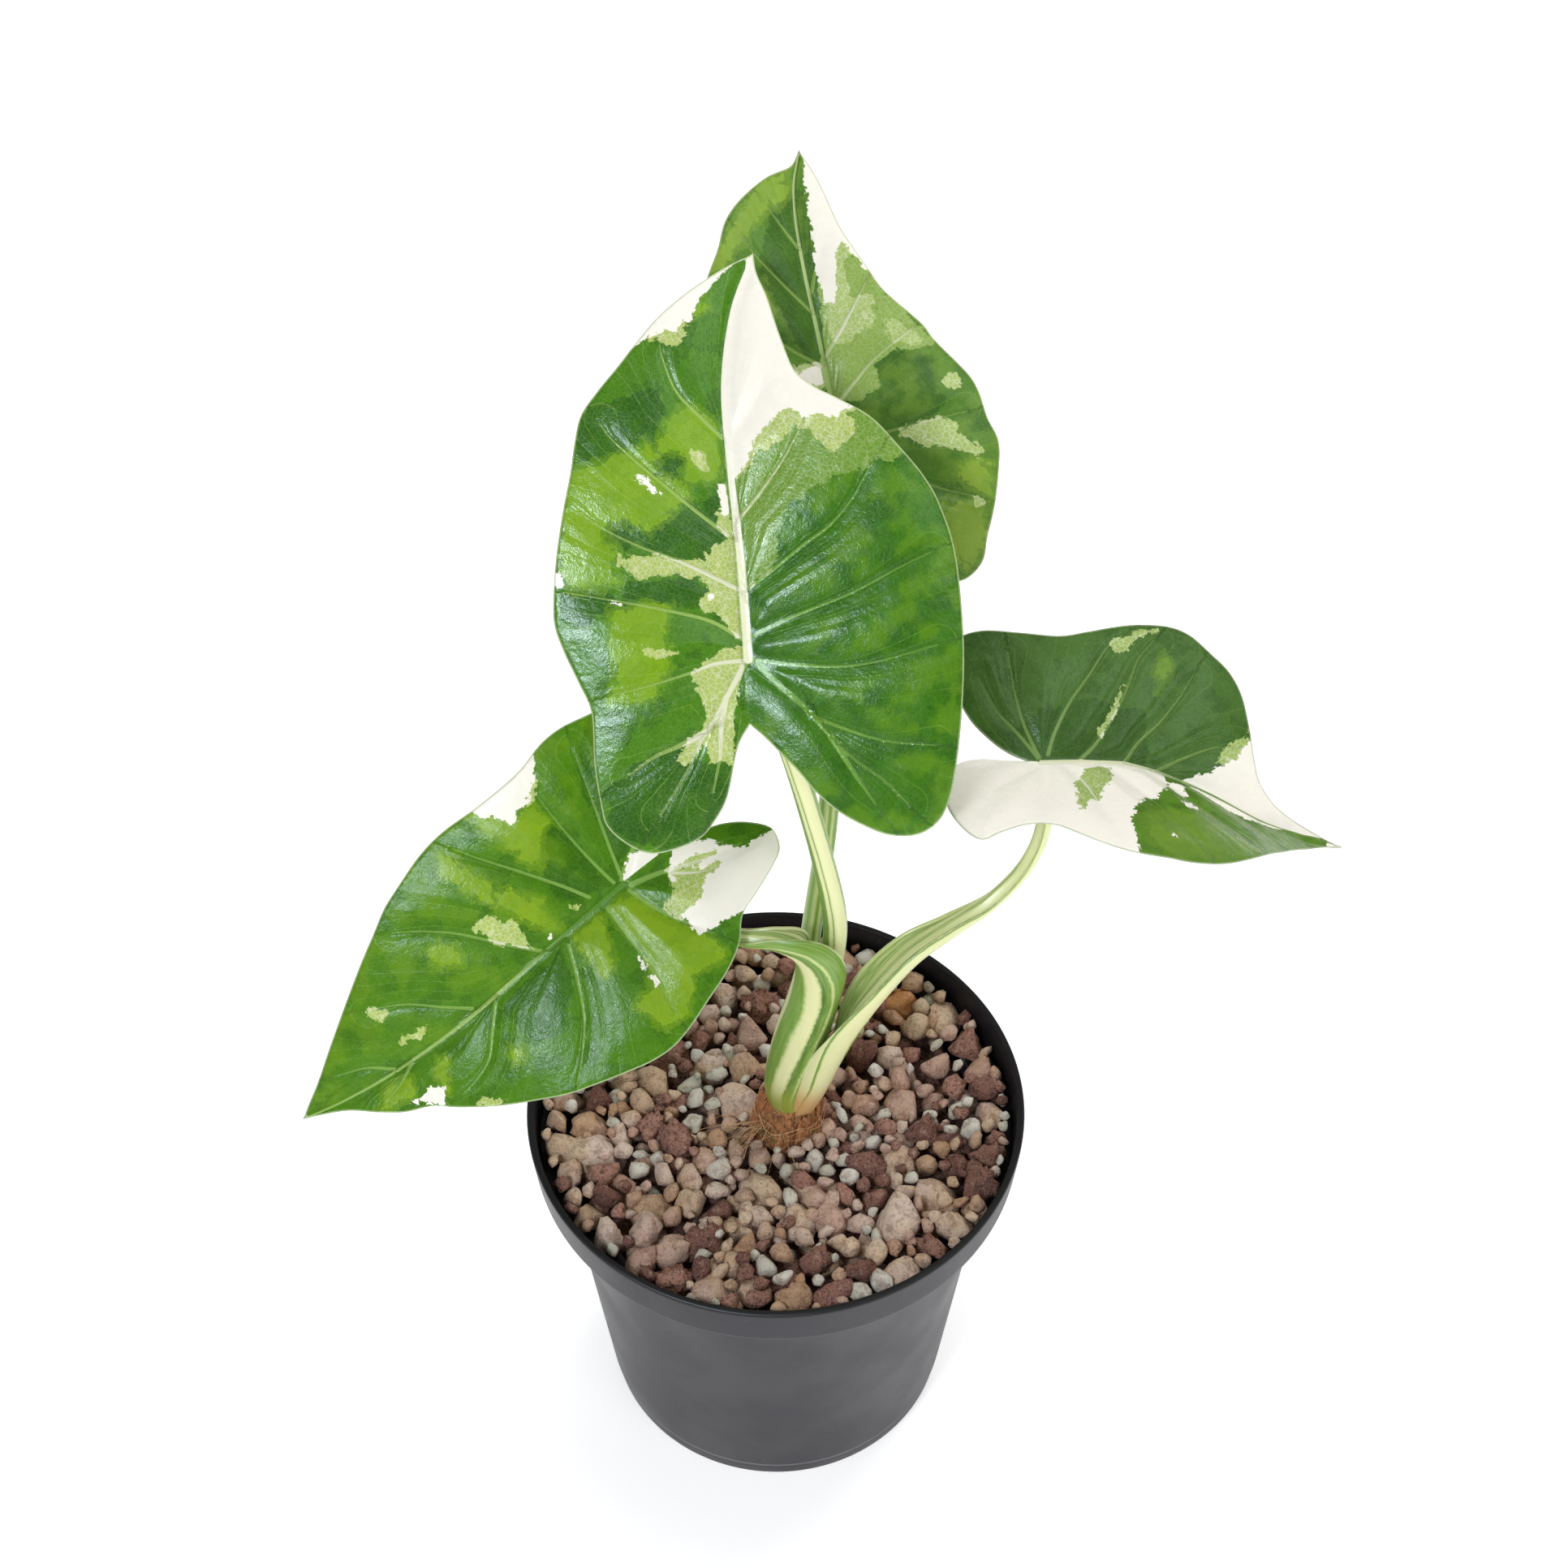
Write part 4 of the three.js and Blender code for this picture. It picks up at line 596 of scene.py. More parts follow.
# %% [markdown]
# ## The blades: the surface
#
# A blade could be sculpted, or draped as a cloth. But a leaf holds itself up: its midrib is arched, both
# halves rise from it in a shallow V and curl over to the margin. That is a rule, so the flat leaf is
# triangulated finely and each point is bent by the rule, the same as in the solids. Between the veins
# the skin bulges up by a millimetre or more, which is what breaks up the gloss on the real plant. Below,
# the midrib and the veins stand out as ribs. A blade is a closed skin of two surfaces and a rim.

# %% Sizes shared by all blades, in millimetres
BLADE_THICKNESS = 0.5
LOBE_SHARE = 0.45
MIDRIB = dict(half_width=1.0, tip_width=0.3, below=1.5)
VEIN = dict(half_width=0.5, tip_width=0.16, below=0.5)
COSTA = dict(half_width=0.75, tip_width=0.25, below=0.9)
COSTA_ENDS_BEYOND = -22
GROOVE = dict(height=0.5, reach=1.3)
PAD = dict(height=1.5, reach=5.0, fade=80, margin=5)
CORD = dict(midrib=0.3, vein=0.22)
LINE_HALF, END_FADE = 0.5, 2.2
NO_VEIN, NO_LINE = 20.0, 30.0
WAVE = dict(count=6, reach=14)
SINK = 0.4
MARGIN_STEP, MARGIN_CLEAR = 0.6, 0.3
LINE_STEP, GRID_CLEAR = 0.7, 0.45
SKIN_STEP = 0.62
ROW_STEP = SKIN_STEP * 0.866


def midrib_at(leaf, u):
    """How far the midrib is to the left of the straight line from the stalk to the tip."""
    line = np.array(leaf["midrib"])
    return np.where(u <= 0, 0, np.interp(u, line[:, 0], line[:, 1]))


def flat(leaf, places):
    """Places in u and w, as points of the flat leaf."""
    places = np.asarray(places, dtype=float)
    return np.column_stack([places[:, 0], places[:, 1] + midrib_at(leaf, places[:, 0])])


def margin_of(leaf, half):
    corners = np.vstack([(leaf["sinus"], 0), flat(leaf, leaf[half]), leaf["midrib"][-1]])
    return evenly(through(corners, 12), MARGIN_STEP)


def veins_of(leaf):
    """Each vein as its side, its smooth line on the flat leaf, and its sizes, listed from lobe to tip."""
    veins = []
    for side, half in ((1, "left_veins"), (-1, "right_veins")):
        for places in leaf[half]:
            line = through(flat(leaf, [(u, side * w) for u, w in places]), 6)
            veins.append((side, line, COSTA if places[-1][0] < COSTA_ENDS_BEYOND else VEIN))
    return veins


def midrib_line(leaf):
    """The midrib on the flat leaf, from the stalk to the tip."""
    return through(leaf["midrib"], 8)


def turned_about(axis, degrees):
    """A rotation matrix about one axis: x is 0, y is 1, z is 2."""
    cosine, sine = math.cos(math.radians(degrees)), math.sin(math.radians(degrees))
    first, second = [i for i in range(3) if i != axis]
    matrix = np.eye(3)
    matrix[first, first] = matrix[second, second] = cosine
    matrix[first, second], matrix[second, first] = -sine, sine
    return matrix


def bend(leaf, points, lift):
    """Bends points of the flat leaf into the standing one, raised by lift from its middle surface."""
    u, y = points.T
    arch = np.where(u < 0, math.radians(leaf["arch_lobe"]) / (LOBE_SHARE * leaf["length"]),
                    math.radians(leaf["arch_tip"]) / leaf["length"])
    turn = arch * u
    rib = midrib_at(leaf, u)
    side = np.where(y < rib, -1, 1)
    fold = np.where(side < 0, math.radians(leaf["fold_right"]), math.radians(leaf["fold_left"]))
    curl = math.radians(leaf["curl"])
    reach = np.abs(y - rib)
    across = (np.sin(fold) - np.sin(fold - curl * reach)) / curl
    rise = (np.cos(fold - curl * reach) - np.cos(fold)) / curl + lift
    bent = np.column_stack([np.sin(turn) / arch + np.sin(turn) * rise, rib + side * across,
                            (np.cos(turn) - 1) / arch + np.cos(turn) * rise])
    stand = turned_about(2, leaf["yaw"]) @ turned_about(1, leaf["pitch"]) @ turned_about(0, leaf["roll"])
    return bent @ stand.T + np.array(leaf["at"])


# %% The flat leaf as a net of triangles
def staggered_grid(low, high):
    """Points in rows over a box, every second row shifted by half a step."""
    rows = []
    for number, y in enumerate(np.arange(low[1], high[1], ROW_STEP)):
        x = np.arange(low[0] + (number % 2) * SKIN_STEP / 2, high[0], SKIN_STEP)
        rows.append(np.column_stack([x, np.full(len(x), y)]))
    return np.vstack(rows)


def flat_net(loop, lines):
    """Points and triangles of the flat leaf, with a row of points along each vein and beside it."""
    grid = staggered_grid(loop.min(0), loop.max(0))
    along = []
    for line, offsets in lines:
        steps = evenly(line, LINE_STEP)
        heading = np.gradient(steps, axis=0)
        normal = np.column_stack([-heading[:, 1], heading[:, 0]]) / np.linalg.norm(heading, axis=1)[:, None]
        along.extend(steps + normal * offset for offset in offsets)
    along = np.vstack(along)
    nearest = np.min([distance_to_line(grid, line)[0] - max(offsets) for line, offsets in lines], axis=0)
    grid = grid[(nearest > GRID_CLEAR) & (inside_line(grid, loop) > GRID_CLEAR)]
    along = along[inside_line(along, loop) > MARGIN_CLEAR]
    points = np.vstack([loop, grid, along])
    found = delaunay_2d_cdt([Vector(p) for p in points], [], [list(range(len(loop)))], 1, 1e-4)
    return np.array([tuple(p) for p in found[0]]), [tuple(face) for face in found[2]]


def closed_skin(top, under, faces):
    """Joins a top and an under surface along their rim."""
    edges = dict.fromkeys(edge for a, b, c in faces for edge in ((a, b), (b, c), (c, a)))
    count = len(top)
    below = [(c + count, b + count, a + count) for a, b, c in faces]
    sides = [(b, a, a + count, b + count) for a, b in edges if (b, a) not in edges]
    return np.vstack([top, under]), [*faces, *below, *sides]


# %% What each point of a blade knows about itself
def ridge(height, gap, width):
    """A flat-topped ridge along a line."""
    return height * np.exp(-((gap / width) ** 4))


def vein_fields(leaf, points, veins):
    """Distances to the veins in vein widths, how near its end the vein is, and the flow: a number that
    grows by 1 from each side vein to the next. Then the gap to the nearest line, and the ribs below."""
    gap, share, _ = distance_to_line(points, midrib_line(leaf))
    rib = gap / (leaf["rib"] * np.interp(share, [0, 1], [MIDRIB["half_width"], MIDRIB["tip_width"]]))
    nearest = np.maximum(gap - LINE_HALF, 0)
    below = ridge(MIDRIB["below"] * (1 - 0.9 * share), gap, 1.5)
    vein, ending, flow = np.full(len(points), NO_VEIN), np.zeros(len(points)), np.zeros(len(points))
    side = np.where(points[:, 1] >= midrib_at(leaf, points[:, 0]), 1, -1)
    for half in (1, -1):
        mine = np.flatnonzero(side == half)
        before, passed_by = np.full(len(mine), NO_LINE), np.zeros(len(mine))
        for line, size in [(line, size) for vein_side, line, size in veins if vein_side == half]:
            away, s, beyond = distance_to_line(points[mine], line)
            width = np.interp(s, [0, 1], [size["half_width"], size["tip_width"]])
            ending[mine] = np.where(away / width < vein[mine], s, ending[mine])
            vein[mine] = np.minimum(vein[mine], away / width)
            nearest[mine] = np.minimum(nearest[mine], away + END_FADE * s**3)
            below[mine] = np.maximum(below[mine], ridge(size["below"] * (1 - 0.8 * s), away, 1.6 * width))
            passed = beyond * half < 0
            passed_by += passed
            before = np.where(passed, away, before)
        flow[mine] = passed_by + before / (before + nearest[mine] + LINE_HALF)
    return dict(vein=vein, ending=ending, rib=rib, flow=flow), nearest, below


def marbling_fields(name, places):
    """How deep each place lies in each tone; a tone runs on a little way under a paler one beside it."""
    depths = {key: np.full(len(places), OUTSIDE) for key in (*TONES, *SOFT_TONES)}
    outlines = dict(depths)
    for key, patch in MARBLING[name]:
        depth = inside_line(places, np.array(patch, dtype=float))
        outlines[key] = np.maximum(outlines[key], depth)
        depths[key] = np.maximum(depths[key], depth)
        for other in TONES if key in TONES else SOFT_TONES:
            if other != key:
                depths[other] = np.minimum(depths[other], -depth)
    for key, palers in PALER.items():
        covered = np.max([depths[paler] for paler in palers], axis=0)
        depths[key] = np.maximum(depths[key], np.minimum(covered + RUN_UNDER, outlines[key] + RUN_OUT))
    return depths


def bulge(height, gap, reach):
    """A rise that starts at a line and levels off at its height."""
    return height * (1 - np.exp(-((gap / reach) ** 2)))


def blade(name, skin):
    """A blade from its flat outline: net, relief, bending, and the fields that its finish reads."""
    leaf = BLADES[name]
    left, right = margin_of(leaf, "left"), margin_of(leaf, "right")
    loop = np.vstack([right, left[-2:0:-1]])
    veins = veins_of(leaf)
    lines = [(midrib_line(leaf), (-1.3, -0.65, 0, 0.65, 1.3))] + [(line, (-0.5, 0, 0.5)) for _, line, _ in veins]
    points, faces = flat_net(loop, lines)
    rim = np.maximum(inside_line(points, loop), 0)
    fields, nearest, below = vein_fields(leaf, points, veins)
    pad = bulge(PAD["height"], nearest, PAD["reach"]) * bulge(1, rim, PAD["margin"])
    pad *= np.maximum(0.5, 1 - np.linalg.norm(points, axis=1) / PAD["fade"])
    _, round_margin, _ = distance_to_line(points, np.vstack([loop, loop[:1]]))
    wave = leaf["ripple"] * np.sin(WAVE["count"] * math.tau * round_margin)
    wave *= np.maximum(0, 1 - rim / WAVE["reach"]) ** 2
    cord = CORD["vein"] * np.exp(-(fields["vein"] ** 2)) * (1 - 0.6 * fields["ending"])
    cord += CORD["midrib"] * np.exp(-(fields["rib"] ** 2))
    relief = bulge(GROOVE["height"], nearest, GROOVE["reach"]) + pad - SINK + wave + cord
    half = BLADE_THICKNESS / 2 * np.minimum(1, 0.35 + rim / 1.2)
    top = bend(leaf, points, relief + half)
    under = bend(leaf, points, relief - half - below)
    skin_points, skin_faces = closed_skin(top, under, faces)
    piece = mesh_piece(name + "_blade", skin_points, skin_faces, skin)
    places = np.column_stack([points[:, 0], points[:, 1] - midrib_at(leaf, points[:, 0])])
    fields.update(marbling_fields(name, places), rim=rim, across=places[:, 1], along=places[:, 0])
    for key, values in fields.items():
        write_field(piece, key, np.tile(values, 2))
    write_field(piece, "place", np.tile(np.column_stack([points, np.zeros(len(points))]), (2, 1)))
    write_field(piece, "underside", np.repeat([0, 1], len(points)))
    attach(piece, "root")
    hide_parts(name)
    print(name, "faces:", len(skin_faces), "box mm:", np.ptp(skin_points, axis=0).round(1))


# %% [markdown]
# ## The blades: the finish
#
# A fresh blade is waxy: green cells under a smooth clear skin. Its colour is built from the back to the
# front: the plain green of each half with cloudy lime and dark zones, then moss, sage and cream patches
# with ragged edges, then the pale network of veins and the thin light margin. The edge of a patch is
# made ragged by shifting its depth by one random amount for each small cell of the network, because in
# a real leaf a whole little field between two fine veins turns pale at once.

# %% Leaf finish
CREAM_TISSUE = tone(246, 242, 231)
CELL_SHIFTS = ((0.3, 0.6), (0.6, 0.7), (1.3, 0.5))
PATCH_EDGE = 0.1
DARK_EDGE = 0.15
CELL_RELIEF = 0.035


def leaf_finish(name, gloss, left_green, right_green, dark, lime, moss, sage, left_vein, right_vein, rib, rib_tip):
    finish = Finish(name, Specular_IOR_Level=gloss)
    field, ease, mix, plus, times = finish.words()
    place = field("place", "Vector")
    across, along, vein, midrib, flow = (field(key) for key in ("across", "along", "vein", "rib", "flow"))
    fine, broad = finish.clouds(place, 0.9, 4), finish.clouds(place, 0.16, 3)

    # How far the edge of a patch strays here: by a cloud, and by one amount for each cell of three nets.
    shift = finish.sway(fine, 0.6)
    for scale, step in CELL_SHIFTS:
        cell = finish.put("ShaderNodeSeparateColor", Color=finish.cells(place, scale, output="Color"))
        shift = plus(shift, finish.sway(cell.outputs["Red"], step))
    shift = times(shift, ease(finish.size(across), 0.6, 2.6))

    def patch(key):
        return ease(plus(field(key), shift), -PATCH_EDGE, PATCH_EDGE)

    # Lines: big veins as cords, the net of the smallest ones, and rows of thin ones side by side.
    on_left = ease(across, -0.3, 0.3)
    cord = times(ease(vein, 0.6, 1.1, 1.0, 0.0), ease(field("ending"), 0.2, 1.0, 1.0, 0.5))
    edge_gap = finish.cells(place, 1.0, "DISTANCE_TO_EDGE")
    net = ease(edge_gap, 0.02, 0.09, 1.0, 0.0)
    saw = finish.calculate("PINGPONG", times(flow, 8.0), 0.5)
    rows = ease(plus(saw, times(fine, 0.06)), 0.03, 0.07, 1.0, 0.0)

    # Greens: dark and lime zones, mottling, a lighter yellow green between the veins of the right half, partly its own
    # tone and partly painted light on the raised pads, and the lines.
    green = mix(on_left, right_green, left_green)
    dark_zone = ease(plus(field("dark"), finish.sway(broad, 4.0), shift), -DARK_EDGE, DARK_EDGE)
    green = mix(times(dark_zone, 0.75), green, dark)
    patchy = plus(finish.clouds(place, 0.13, 3), times(shift, 0.04))
    green = mix(ease(patchy, 0.55, 0.57, 0.0, 0.4), green, dark)
    green = mix(ease(finish.clouds(place, 0.25, 3), 0.4, 0.65, 0.0, 0.25), green, dark)
    lime_depth = plus(field("lime"), times(shift, 1.4), finish.sway(finish.clouds(place, 0.11, 2), 2.0))
    green = mix(ease(lime_depth, -1.3, -1.2, 0.0, 0.3), green, lime)
    green = mix(ease(lime_depth, -0.1, 0.0, 0.0, 0.7), green, lime)
    green = mix(ease(plus(patchy, 0.03), 0.5, 0.52, 0.3, 0.0), green, mix(0.6, green, left_green))
    # Painted light: the right half turns lighter and yellower away from its veins, where the pads bulge up; partly the
    # tissue's own tone.
    pad_light_and_tint = times(ease(vein, 3.0, 14.0), ease(broad, 0.42, 0.6, 0.0, 0.45), finish.minus(1.0, on_left))
    green = mix(pad_light_and_tint, green, mix(0.45, left_green, lime))
    vein_tone = mix(on_left, right_vein, left_vein)
    for share in (times(rows, 0.32), times(net, 0.12), times(cord, 0.85)):
        green = mix(share, green, vein_tone)

    # Pale patches, with a net of lighter veins.
    moss_tone = mix(finish.most(times(net, 0.25), times(cord, 0.8)), moss, mix(0.3, sage, CREAM_TISSUE))
    clouded = ease(finish.clouds(place, 0.22, 4), 0.45, 0.6, 0.0, 0.4)
    sage_tone = mix(finish.most(times(net, 0.45), times(cord, 0.85)), mix(clouded, sage, mix(0.5, moss, sage)),
                    mix(0.7, sage, CREAM_TISSUE))
    cream_tone = mix(ease(broad, 0.45, 0.8, 0.0, 0.06), CREAM_TISSUE, mix(0.4, CREAM_TISSUE, sage))
    colour = green
    for key, pale_tone in (("moss", moss_tone), ("sage", sage_tone), ("cream", cream_tone)):
        colour = mix(patch(key), colour, pale_tone)

    # The midrib with a dark line beside it, the light margin, and the duller underside.
    beside = times(ease(midrib, 0.9, 1.2), ease(midrib, 1.9, 1.4), ease(along, 20.0, 45.0, 0.3, 0.06))
    colour = mix(beside, colour, dark)
    colour = mix(ease(midrib, 0.75, 1.15, 0.95, 0.0), colour, mix(ease(along, 12.0, 40.0), rib, rib_tip))
    colour = mix(ease(field("rim"), 0.16, 0.42, 0.7, 0.0), colour, mix(0.35, left_vein, CREAM_TISSUE))
    underside = field("underside")
    colour = mix(underside, colour, mix(0.5, colour, tone(128, 158, 96)))

    # Relief: quilting and ridges between the finest veins, none close to the stalk and little on cream.
    quilt = ease(edge_gap, 0.0, 0.35, 0.0, 0.5)
    grain = ease(finish.cells(place, 2.7, "DISTANCE_TO_EDGE"), 0.0, 0.3, 0.0, 0.35)
    ridges = finish.calculate("PINGPONG", plus(times(flow, 6.0), times(fine, 0.5)), 0.5)
    from_stalk = finish.put("ShaderNodeVectorMath", {"operation": "LENGTH"}, Vector=place).outputs["Value"]
    height = plus(quilt, grain, times(finish.clouds(place, 0.35, 3), 6.0),
                  times(ridges, ease(from_stalk, 8.0, 20.0, 0.0, 6.0)))
    smooth_cream = times(patch("cream"), ease(underside, 0.4, 0.6, 1.0, 0.0))
    finish.bump(finish.minus(height, times(rows, 0.4)), CELL_RELIEF, ease(smooth_cream, 0.0, 1.0, 0.8, 0.2))
    finish.roughness(plus(ease(finish.clouds(place, 0.3, 3), 0.3, 0.7, 0.22, 0.32), times(underside, 0.2)))
    return finish.colour(colour)


LEAF_TONES = {
    "leaf_front": dict(gloss=0.32, left_green=tone(70, 124, 14), right_green=tone(54, 108, 8), dark=tone(34, 84, 12),
                       lime=tone(130, 170, 18), moss=tone(106, 146, 46), sage=tone(172, 190, 100),
                       left_vein=tone(156, 188, 96), right_vein=tone(118, 164, 62),
                       rib=tone(232, 235, 200), rib_tip=tone(240, 238, 222)),
    "leaf_rear": dict(gloss=0.2, left_green=tone(90, 132, 46), right_green=tone(82, 124, 44), dark=tone(56, 96, 32),
                      lime=tone(146, 176, 64), moss=tone(138, 168, 80), sage=tone(170, 192, 112),
                      left_vein=tone(138, 170, 84), right_vein=tone(138, 170, 84),
                      rib=tone(150, 180, 98), rib_tip=tone(176, 196, 130)),
    "leaf_left": dict(gloss=0.13, left_green=tone(76, 126, 20), right_green=tone(76, 126, 20), dark=tone(48, 96, 16),
                      lime=tone(140, 174, 34), moss=tone(120, 156, 62), sage=tone(172, 192, 98),
                      left_vein=tone(134, 174, 82), right_vein=tone(134, 174, 82),
                      rib=tone(92, 138, 50), rib_tip=tone(150, 182, 96)),
    "leaf_right": dict(gloss=0.22, left_green=tone(72, 108, 46), right_green=tone(88, 132, 26), dark=tone(50, 84, 30),
                       lime=tone(112, 148, 42), moss=tone(122, 150, 72), sage=tone(156, 180, 94),
                       left_vein=tone(122, 152, 80), right_vein=tone(122, 152, 80),
                       rib=tone(222, 224, 190), rib_tip=tone(104, 140, 58)),
}
print("leaf finishes:", {name: tones["gloss"] for name, tones in LEAF_TONES.items()})

# %% Make the four blades
for leaf_name in BLADES:
    blade(leaf_name, leaf_finish(leaf_name + "_skin", **LEAF_TONES[leaf_name]))

# %% [markdown]
# ## The pot
#
# A nursery pot is injection moulded: a tapered wall of even thickness, a wider band at the rim that
# stiffens it, a foot ring and a raised floor with drain holes. All of it is one profile turned round an
# axis, so Geometry Nodes turn it: a grid gets one row for each profile point and one column for each
# step round, and each grid point looks its radius and height up in the profile. Eight rods on a ring
# are then cut out of the floor, as the mould's pins leave them out.

# %% Helpers for node trees that make meshes
class Plan(Sketch):
    """A geometry tree: one geometry in, one out, and named numbers, objects and a material."""

    prefix = "GeometryNode"

    def __init__(self, name, **numbers):
        self.tree = bpy.data.node_groups.new(name, "GeometryNodeTree")
        new_socket = self.tree.interface.new_socket
        new_socket("Geometry", in_out="INPUT", socket_type="NodeSocketGeometry")
        for label, (kind, value) in {**numbers, "Material": ("Material", None)}.items():
            socket = new_socket(label, in_out="INPUT", socket_type="NodeSocket" + kind)
            if value is not None:
                socket.default_value = value
        new_socket("Geometry", in_out="OUTPUT", socket_type="NodeSocketGeometry")
        self.given = self.tree.nodes.new("NodeGroupInput").outputs

    def read(self, name, kind="FLOAT_VECTOR"):
        return self.put("InputNamedAttribute", {"data_type": kind}, Name=name).outputs[0]

    def end(self, geometry):
        """Every plan ends the same way: instances become real meshes, and the material is set."""
        real = self.put("RealizeInstances", Geometry=geometry)
        dressed = self.put("SetMaterial", Geometry=real.outputs[0], Material=self.given["Material"])
        self.tree.links.new(dressed.outputs[0], self.tree.nodes.new("NodeGroupOutput").inputs[0])
        return self.tree


def run_tree(host, tree, values, name):
    """Runs a tree on a host object and keeps the result as a plain mesh."""
    modifier = host.modifiers.new(tree.name, "NODES")
    modifier.node_group = tree
    sockets = {item.name: item.identifier for item in tree.interface.items_tree if item.in_out == "INPUT"}
    for label, value in values.items():
        modifier[sockets[label]] = value
    evaluated = host.evaluated_get(bpy.context.evaluated_depsgraph_get())
    mesh = bpy.data.meshes.new_from_object(evaluated)
    mesh.name = name
    host.modifiers.remove(modifier)
    bpy.data.objects.remove(host)
    print(name, "faces:", len(mesh.polygons))
    return in_scene(name, mesh)


def loose_host(name, points_mm, edges=()):
    """A mesh of loose points or lines, on which a tree can work."""
    mesh = bpy.data.meshes.new(name)
    mesh.from_pydata((np.asarray(points_mm, dtype=float) * MM).tolist(), edges, [])
    return in_scene(name, mesh)


def line_host(name, lines_mm):
    points, edges = [], []
    for line in lines_mm:
        edges.extend((len(points) + i, len(points) + i + 1) for i in range(len(line) - 1))
        points.extend(line)
    return loose_host(name, points, edges)


# %% A tree that turns a profile round the upright axis
def turning_tree():
    plan = Plan("turn_profile", Steps=("Int", 160), Rows=("Int", 2))
    put, calculate, times = plan.put, plan.calculate, plan.times
    steps, rows = plan.given["Steps"], plan.given["Rows"]
    grid = put("MeshGrid", Vertices_X=plan.plus(steps, 1), Vertices_Y=rows)
    index = put("InputIndex").outputs[0]
    row, column = calculate("MODULO", index, rows), calculate("FLOOR", calculate("DIVIDE", index, rows))
    turn = calculate("DIVIDE", times(column, math.tau), steps)
    look_up = put("SampleIndex", {"data_type": "FLOAT_VECTOR"}, Geometry=plan.given[0], Index=row,
                  Value=put("InputPosition").outputs[0])
    out, _, height = plan.split(look_up.outputs["Value"])
    place = put("ShaderNodeCombineXYZ", X=times(out, calculate("COSINE", turn)), Y=times(out, calculate("SINE", turn)),
                Z=height)
    shaped = put("SetPosition", Geometry=grid.outputs["Mesh"], Position=place.outputs[0])
    return plan.end(put("MergeByDistance", Geometry=shaped.outputs[0], Distance=1e-6).outputs[0])


TURN = turning_tree()


def rounded(profile, radius, steps=4):
    """A profile of (radius, height) with its inner corners rounded."""
    points = [np.array(p, dtype=float) for p in profile]
    result = [points[0]]
    for before, corner, after in zip(points, points[1:], points[2:]):
        reach_in = min(radius, np.linalg.norm(before - corner) * 0.45)
        reach_out = min(radius, np.linalg.norm(after - corner) * 0.45)
        start = corner + (before - corner) / np.linalg.norm(before - corner) * reach_in
        end = corner + (after - corner) / np.linalg.norm(after - corner) * reach_out
        for t in np.linspace(0, 1, steps):
            result.append((1 - t) ** 2 * start + 2 * t * (1 - t) * corner + t**2 * end)
    return [*result, points[-1]]


def turned(name, profile, steps, material):
    host = line_host(name + "_profile", [[(r, 0, z) for r, z in profile]])
    return run_tree(host, TURN, {"Steps": steps, "Rows": len(profile), "Material": material}, name)


# %% Pot finish: charcoal plastic, satin, with two fine pale lines, one of them a painted highlight, a dusting from the grit, and painted shade inside the rim
RIM_TOP, RIM_INNER_RADIUS, BAND_FOOT = 0.1012, 0.05795, 0.0906
PALE_LINE_HEIGHTS = (0.0052, 0.0903)


def pot_finish():
    finish = Finish("charcoal_plastic", Roughness=0.42, Specular_IOR_Level=0.3)
    _, ease, mix, plus, times = finish.words()
    here = finish.here()
    x, y, z = finish.split(here)
    radius = finish.calculate("SQRT", plus(times(x, x), times(y, y)))
    cloud = finish.clouds(here, 45, 4)
    colour = mix(ease(cloud, 0.3, 0.75), tone(34, 31, 37), tone(39, 36, 43))
    colour = mix(ease(finish.clouds(here, 900, 5, 0.7), 0.62, 0.72, 0.0, 0.3), colour, tone(118, 110, 104))
    # Painted shade: the inner wall above the band's foot is darkened as if in shadow, and the top of the rim is darker
    # as well.
    inside = times(ease(radius, RIM_INNER_RADIUS + 0.00015, RIM_INNER_RADIUS - 0.00015),
                   ease(z, BAND_FOOT - 0.0002, BAND_FOOT + 0.0002))
    dark_rim_and_inner_shade = finish.most(ease(z, RIM_TOP - 0.0002, RIM_TOP + 0.0002), inside)
    colour = mix(ease(dark_rim_and_inner_shade, 0.0, 1.0, 0.0, 0.85), colour, tone(26, 25, 26))
    # Two pale lines round the pot: the one at the band's lower edge is a painted highlight, the other runs near the
    # foot.
    for height in PALE_LINE_HEIGHTS:
        line = ease(finish.size(finish.minus(z, height)), 0.0001, 0.0006, 0.3, 0.0)
        colour = mix(line, colour, tone(150, 146, 156))
    finish.roughness(ease(cloud, 0.3, 0.7, 0.38, 0.48))
    finish.bump(finish.clouds(here, 2400, 2), 0.03, 0.5)
    return finish.colour(colour)


# %% Turn the pot
POT_PROFILE = [
    (0, 0), (15, 0), (17.5, 2.5), (36.9, 2.5), (39.4, 0), (43.4, 0), (43.75, 4.2), (44.05, 4.6), (44.2, 5.2),
    (52.8, 89.3), (58.9, 90.3), (59.1, 91.2), (60, 101.4), (59.7, 102), (58.3, 102), (57.5, 91.6), (51.2, 90.6),
    (42, 4.6), (41.3, 4.1), (0, 4.1)]
pot_skin = pot_finish()
pot_body = turned("pot_body", rounded(POT_PROFILE, 0.5), 180, pot_skin)


